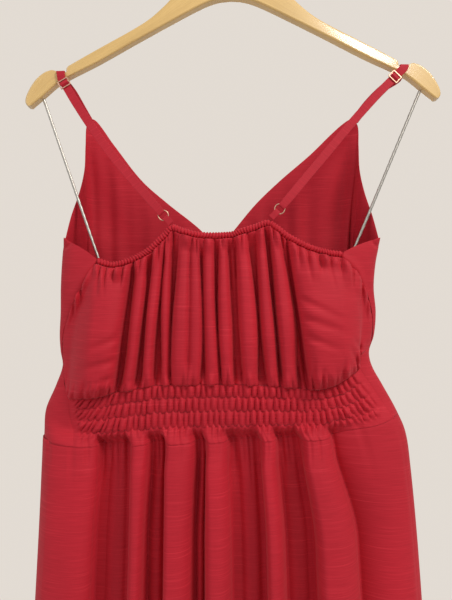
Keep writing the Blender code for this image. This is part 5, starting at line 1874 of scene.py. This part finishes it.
def wood_finish(name, hanger):
    """Varnished pale wood with fine grain along the arms."""
    material, shader, tree = new_finish(name)
    weave = tree.nodes.new("ShaderNodeUVMap")
    weave.uv_map = "weave"
    source = weave.outputs["UV"]
    grain = add_noise(tree, source, (14.0, 420.0, 1.0), 3.0, 0.55)
    pores = add_noise(tree, source, (90.0, 1600.0, 1.0), 2.0, 0.5)
    cloud = add_noise(tree, source, (18.0, 60.0, 1.0), 2.0, 0.5)
    lines = add_ramp(tree, grain, [(0.32, (0.0, 0.0, 0.0)), (0.66, (1.0, 1.0, 1.0))])
    colour = add_mix(tree, "MIX", lines, tuple(hanger.grain_colour), tuple(hanger.wood_colour))
    colour = add_mix(tree, "MIX", 0.55, colour, tuple(hanger.wood_colour))
    fleck = add_ramp(tree, pores, [(0.36, (0.90, 0.88, 0.84)), (0.48, (1.0, 1.0, 1.0))])
    colour = add_mix(tree, "MULTIPLY", 0.8, colour, fleck)
    patch = add_ramp(tree, cloud, [(0.30, (0.94, 0.93, 0.90)), (0.70, (1.04, 1.04, 1.04))])
    colour = add_mix(tree, "MULTIPLY", 1.0, colour, patch)
    tree.links.new(colour, shader.inputs["Base Color"])
    shader.inputs["Roughness"].default_value = 0.34
    shader.inputs["Coat Weight"].default_value = 0.8
    shader.inputs["Coat Roughness"].default_value = 0.13
    return material


def metal_finish(name, colour, roughness, scratch):
    """Plated metal with faint rub marks."""
    material, shader, tree = new_finish(name)
    place = tree.nodes.new("ShaderNodeTexCoord")
    marks = add_noise(tree, place.outputs["Object"], (scratch, scratch, scratch * 2.5), 3.0, 0.6)
    dull = tuple(channel * 0.84 for channel in colour)
    tint = add_mix(tree, "MIX", marks, dull, tuple(colour))
    tree.links.new(tint, shader.inputs["Base Color"])
    worn = tree.nodes.new("ShaderNodeMapRange")
    worn.inputs["To Min"].default_value = roughness * 0.8
    worn.inputs["To Max"].default_value = roughness * 1.3
    tree.links.new(marks, worn.inputs["Value"])
    tree.links.new(worn.outputs["Result"], shader.inputs["Roughness"])
    shader.inputs["Metallic"].default_value = 1.0
    return material


def thread_finish(name, colour):
    """Sewing thread with its twist."""
    material, shader, tree = new_finish(name)
    place = tree.nodes.new("ShaderNodeTexCoord")
    twist = add_noise(tree, place.outputs["Object"], (2600.0, 2600.0, 2600.0), 1.0)
    tint = add_mix(tree, "MIX", twist, tuple(channel * 0.8 for channel in colour), tuple(colour))
    tree.links.new(tint, shader.inputs["Base Color"])
    shader.inputs["Roughness"].default_value = 0.6
    return material


def stage_finish(name, colour):
    """Plain matt floor."""
    material, shader, tree = new_finish(name)
    place = tree.nodes.new("ShaderNodeTexCoord")
    cloud = add_noise(tree, place.outputs["Object"], (3.0, 3.0, 3.0), 2.0)
    tint = add_mix(tree, "MIX", cloud, tuple(channel * 0.97 for channel in colour), tuple(colour))
    tree.links.new(tint, shader.inputs["Base Color"])
    shader.inputs["Roughness"].default_value = 0.8
    return material


def dress_cloth():
    """The dress's crepe, made once."""
    dress = bpy.context.scene.dress_settings
    made = bpy.data.materials.get("coral_crepe")
    return made or cloth_finish("coral_crepe", tuple(dress.colour), tuple(dress.deep_colour), dress)


class MakeSkirt(bpy.types.Operator):
    """Makes the two gathered skirt panels"""

    bl_idname = "dress.make_skirt"
    bl_label = "Skirt"

    def execute(self, context):
        dress = context.scene.dress_settings
        make_skirt("back_skirt", BACK, back_fold, BACK_SKIRT_DRIFT, BACK_TUCKS,
                   waist_seam_drop, dress, dress_cloth())
        make_skirt("front_skirt", FRONT, front_fold, FRONT_SKIRT_DRIFT, FRONT_TUCKS,
                   front_seam_drop, dress, dress_cloth())
        return {"FINISHED"}


class MakeWaist(bpy.types.Operator):
    """Makes the shirred back waist and the plain front waist"""

    bl_idname = "dress.make_waist"
    bl_label = "Waist"

    def execute(self, context):
        dress = context.scene.dress_settings
        make_back_waist(dress, dress_cloth())
        make_front_waist(dress, dress_cloth())
        return {"FINISHED"}


class MakeBack(bpy.types.Operator):
    """Makes the gathered back and the casing along its neckline"""

    bl_idname = "dress.make_back"
    bl_label = "Gathered back"

    def execute(self, context):
        dress = context.scene.dress_settings
        make_back_bodice(dress, dress_cloth())
        make_casing(dress_cloth())
        return {"FINISHED"}


class MakeFront(bpy.types.Operator):
    """Makes both halves of the V-neck front"""

    bl_idname = "dress.make_front"
    bl_label = "V-neck front"

    def execute(self, context):
        dress = context.scene.dress_settings
        make_front_half("front_left", -1, FRONT_TOP_LEFT, FLAP_TOP_LEFT, SIDE_SEAM_LEFT,
                        dress, dress_cloth())
        make_front_half("front_right", 1, FRONT_TOP_RIGHT, FLAP_TOP_RIGHT, SIDE_SEAM_RIGHT,
                        dress, dress_cloth())
        return {"FINISHED"}


class MakeStraps(bpy.types.Operator):
    """Makes the straps, their tabs, rings and sliders"""

    bl_idname = "dress.make_straps"
    bl_label = "Straps"

    def execute(self, context):
        trim = context.scene.trim_settings
        colour = tuple(trim.strap_colour)
        deep = tuple(channel * 0.8 for channel in colour)
        cloth = cloth_finish("strap_crepe", colour, deep, context.scene.dress_settings)
        metal = metal_finish("rose_gold_plate", tuple(trim.metal_colour), 0.40, 300.0)
        sets = [
            ("left", -1, LEFT_STRAP_FRONT, LEFT_STRAP_BACK, LEFT_SLIDER, LEFT_RING, LEFT_TAB),
            ("right", 1, RIGHT_STRAP_FRONT, RIGHT_STRAP_BACK, RIGHT_SLIDER, RIGHT_RING, RIGHT_TAB),
        ]
        for hand, sign, front, back, slider, ring, tab in sets:
            make_strap(hand, sign, front, back, slider, ring, cloth)
            make_tab(hand, ring, tab, cloth)
            make_ring(hand, ring, metal)
            make_slider(hand, slider, back[0], metal)
        return {"FINISHED"}


class MakeStitches(bpy.types.Operator):
    """Sews the hem of both skirt panels and the drawn rows of the waist"""

    bl_idname = "dress.make_stitches"
    bl_label = "Stitches"

    def execute(self, context):
        dress = context.scene.dress_settings
        trim = context.scene.trim_settings
        thread = thread_finish("coral_thread", tuple(channel * 0.85 for channel in dress.colour))
        mesh = bmesh.new()
        drop = HEM_DROP - dress.hem_height
        for side, fold_at in ((BACK, back_fold), (FRONT, front_fold)):
            stitch_run(mesh, hem_line(side, fold_at, drop, 0.0002), trim.stitch_length * 1.5,
                       trim.stitch_gap * 1.5, 0.00028)
        finish_piece("hem_stitches", mesh, thread, [])
        dark = thread_finish("elastic_thread", tuple(channel * 0.62 for channel in dress.colour))
        mesh = bmesh.new()
        for index in range(len(ELASTIC_ROWS)):
            stitch_run(mesh, elastic_line(index), trim.stitch_length, trim.stitch_gap, 0.00022)
        finish_piece("elastic_stitches", mesh, dark, [])
        return {"FINISHED"}


class MakeHanger(bpy.types.Operator):
    """Makes the wooden hanger with its hook and trouser bar"""

    bl_idname = "dress.make_hanger"
    bl_label = "Hanger"

    def execute(self, context):
        hanger = context.scene.hanger_settings
        steel = metal_finish("zinc_plated_steel", tuple(hanger.steel_colour), 0.40, 220.0)
        make_hanger_wood(hanger, wood_finish("varnished_pale_wood", hanger))
        make_hook(steel)
        make_trouser_bar(steel)
        return {"FINISHED"}


def add_light(name, place, target, size, power, colour):
    """Soft rectangular light aimed at a point."""
    lamp = bpy.data.lights.new(name, "AREA")
    lamp.shape = "RECTANGLE"
    lamp.size = size[0]
    lamp.size_y = size[1]
    lamp.energy = power
    lamp.color = colour
    holder = bpy.data.objects.new(name, lamp)
    holder.location = place
    holder.rotation_euler = (Vector(target) - Vector(place)).to_track_quat("-Z", "Y").to_euler()
    bpy.context.scene.collection.objects.link(holder)
    return holder


class MakeStage(bpy.types.Operator):
    """Sets up the camera, the soft lights and the plain floor"""

    bl_idname = "dress.make_stage"
    bl_label = "Stage"

    def execute(self, context):
        stage = context.scene.stage_settings
        mesh = bmesh.new()
        bmesh.ops.create_grid(mesh, x_segments=2, y_segments=2, size=1.6)
        bmesh.ops.translate(mesh, verts=mesh.verts[:], vec=(0, 0, -stage.floor_drop))
        data = bpy.data.meshes.new("floor")
        mesh.to_mesh(data)
        mesh.free()
        data.materials.append(stage_finish("pale_floor", (0.72, 0.70, 0.67)))
        floor = bpy.data.objects.new("floor", data)
        context.scene.collection.objects.link(floor)
        world = bpy.data.worlds.new("pale_room")
        world.use_nodes = True
        tree = world.node_tree
        seen = tree.nodes["Background"]
        seen.inputs["Color"].default_value = (*stage.background, 1.0)
        sky = tree.nodes.new("ShaderNodeBackground")
        sky.inputs["Color"].default_value = (1.0, 0.98, 0.96, 1.0)
        sky.inputs["Strength"].default_value = stage.sky
        ray = tree.nodes.new("ShaderNodeLightPath")
        both = tree.nodes.new("ShaderNodeMixShader")
        tree.links.new(ray.outputs["Is Camera Ray"], both.inputs["Fac"])
        tree.links.new(sky.outputs["Background"], both.inputs[1])
        tree.links.new(seen.outputs["Background"], both.inputs[2])
        tree.links.new(both.outputs["Shader"], tree.nodes["World Output"].inputs["Surface"])
        context.scene.view_settings.view_transform = "Standard"
        context.scene.world = world
        gloss_power = stage.key_power * GLOSS_SHARE
        front_power = stage.fill_power * FRONT_LIGHT_SHARE
        add_light("key", KEY_PLACE, LIT_PLACE, (0.6, 0.6), stage.key_power, (1.0, 0.97, 0.93))
        gloss = add_light("gloss", GLOSS_PLACE, LIT_PLACE, (0.28, 0.30), gloss_power, WARM_WHITE)
        gloss.visible_diffuse = False
        add_light("fill", FILL_PLACE, LIT_PLACE, (1.4, 1.4), stage.fill_power, (0.95, 0.97, 1.0))
        add_light("front_side", FRONT_LIGHT_PLACE, LIT_PLACE, (1.6, 1.6), front_power, WARM_WHITE)
        view = bpy.data.cameras.new("view")
        view.sensor_fit = "HORIZONTAL"
        view.sensor_width = 36.0
        view.lens = 36.0 * stage.focal_share
        view.clip_start = 0.02
        camera = bpy.data.objects.new("view", view)
        camera.location = stage.camera_place
        camera.rotation_euler = (math.radians(90), 0.0, 0.0)
        context.scene.collection.objects.link(camera)
        context.scene.camera = camera
        return {"FINISHED"}


class DressPanel(bpy.types.Panel):
    """Lists the pieces of the dress and its hanger"""

    bl_idname = "VIEW3D_PT_dress_on_hanger"
    bl_label = "Dress on a hanger"
    bl_space_type = "VIEW_3D"
    bl_region_type = "UI"
    bl_category = "Dress"

    def draw(self, context):
        for name in ("dress_settings", "trim_settings", "hanger_settings", "stage_settings"):
            settings = getattr(context.scene, name)
            box = self.layout.box()
            for key in settings.__annotations__:
                box.prop(settings, key)
        for maker in MAKERS:
            self.layout.operator(maker.bl_idname)


MAKERS = [MakeStage, MakeSkirt, MakeWaist, MakeBack, MakeFront, MakeStraps, MakeHanger, MakeStitches]
GROUPS = [
    ("dress_settings", DressSettings),
    ("trim_settings", TrimSettings),
    ("hanger_settings", HangerSettings),
    ("stage_settings", StageSettings),
]


def register():
    """Makes the settings, the operators and the panel known."""
    for name, group in GROUPS:
        bpy.utils.register_class(group)
        setattr(bpy.types.Scene, name, bpy.props.PointerProperty(type=group))
    for maker in MAKERS:
        bpy.utils.register_class(maker)
    bpy.utils.register_class(DressPanel)


def unregister():
    """Takes them away again."""
    bpy.utils.unregister_class(DressPanel)
    for maker in reversed(MAKERS):
        bpy.utils.unregister_class(maker)
    for name, group in reversed(GROUPS):
        delattr(bpy.types.Scene, name)
        bpy.utils.unregister_class(group)


def main():
    register()
    for maker in MAKERS:
        group, name = maker.bl_idname.split(".")
        getattr(getattr(bpy.ops, group), name)()


if __name__ == "__main__":
    main()
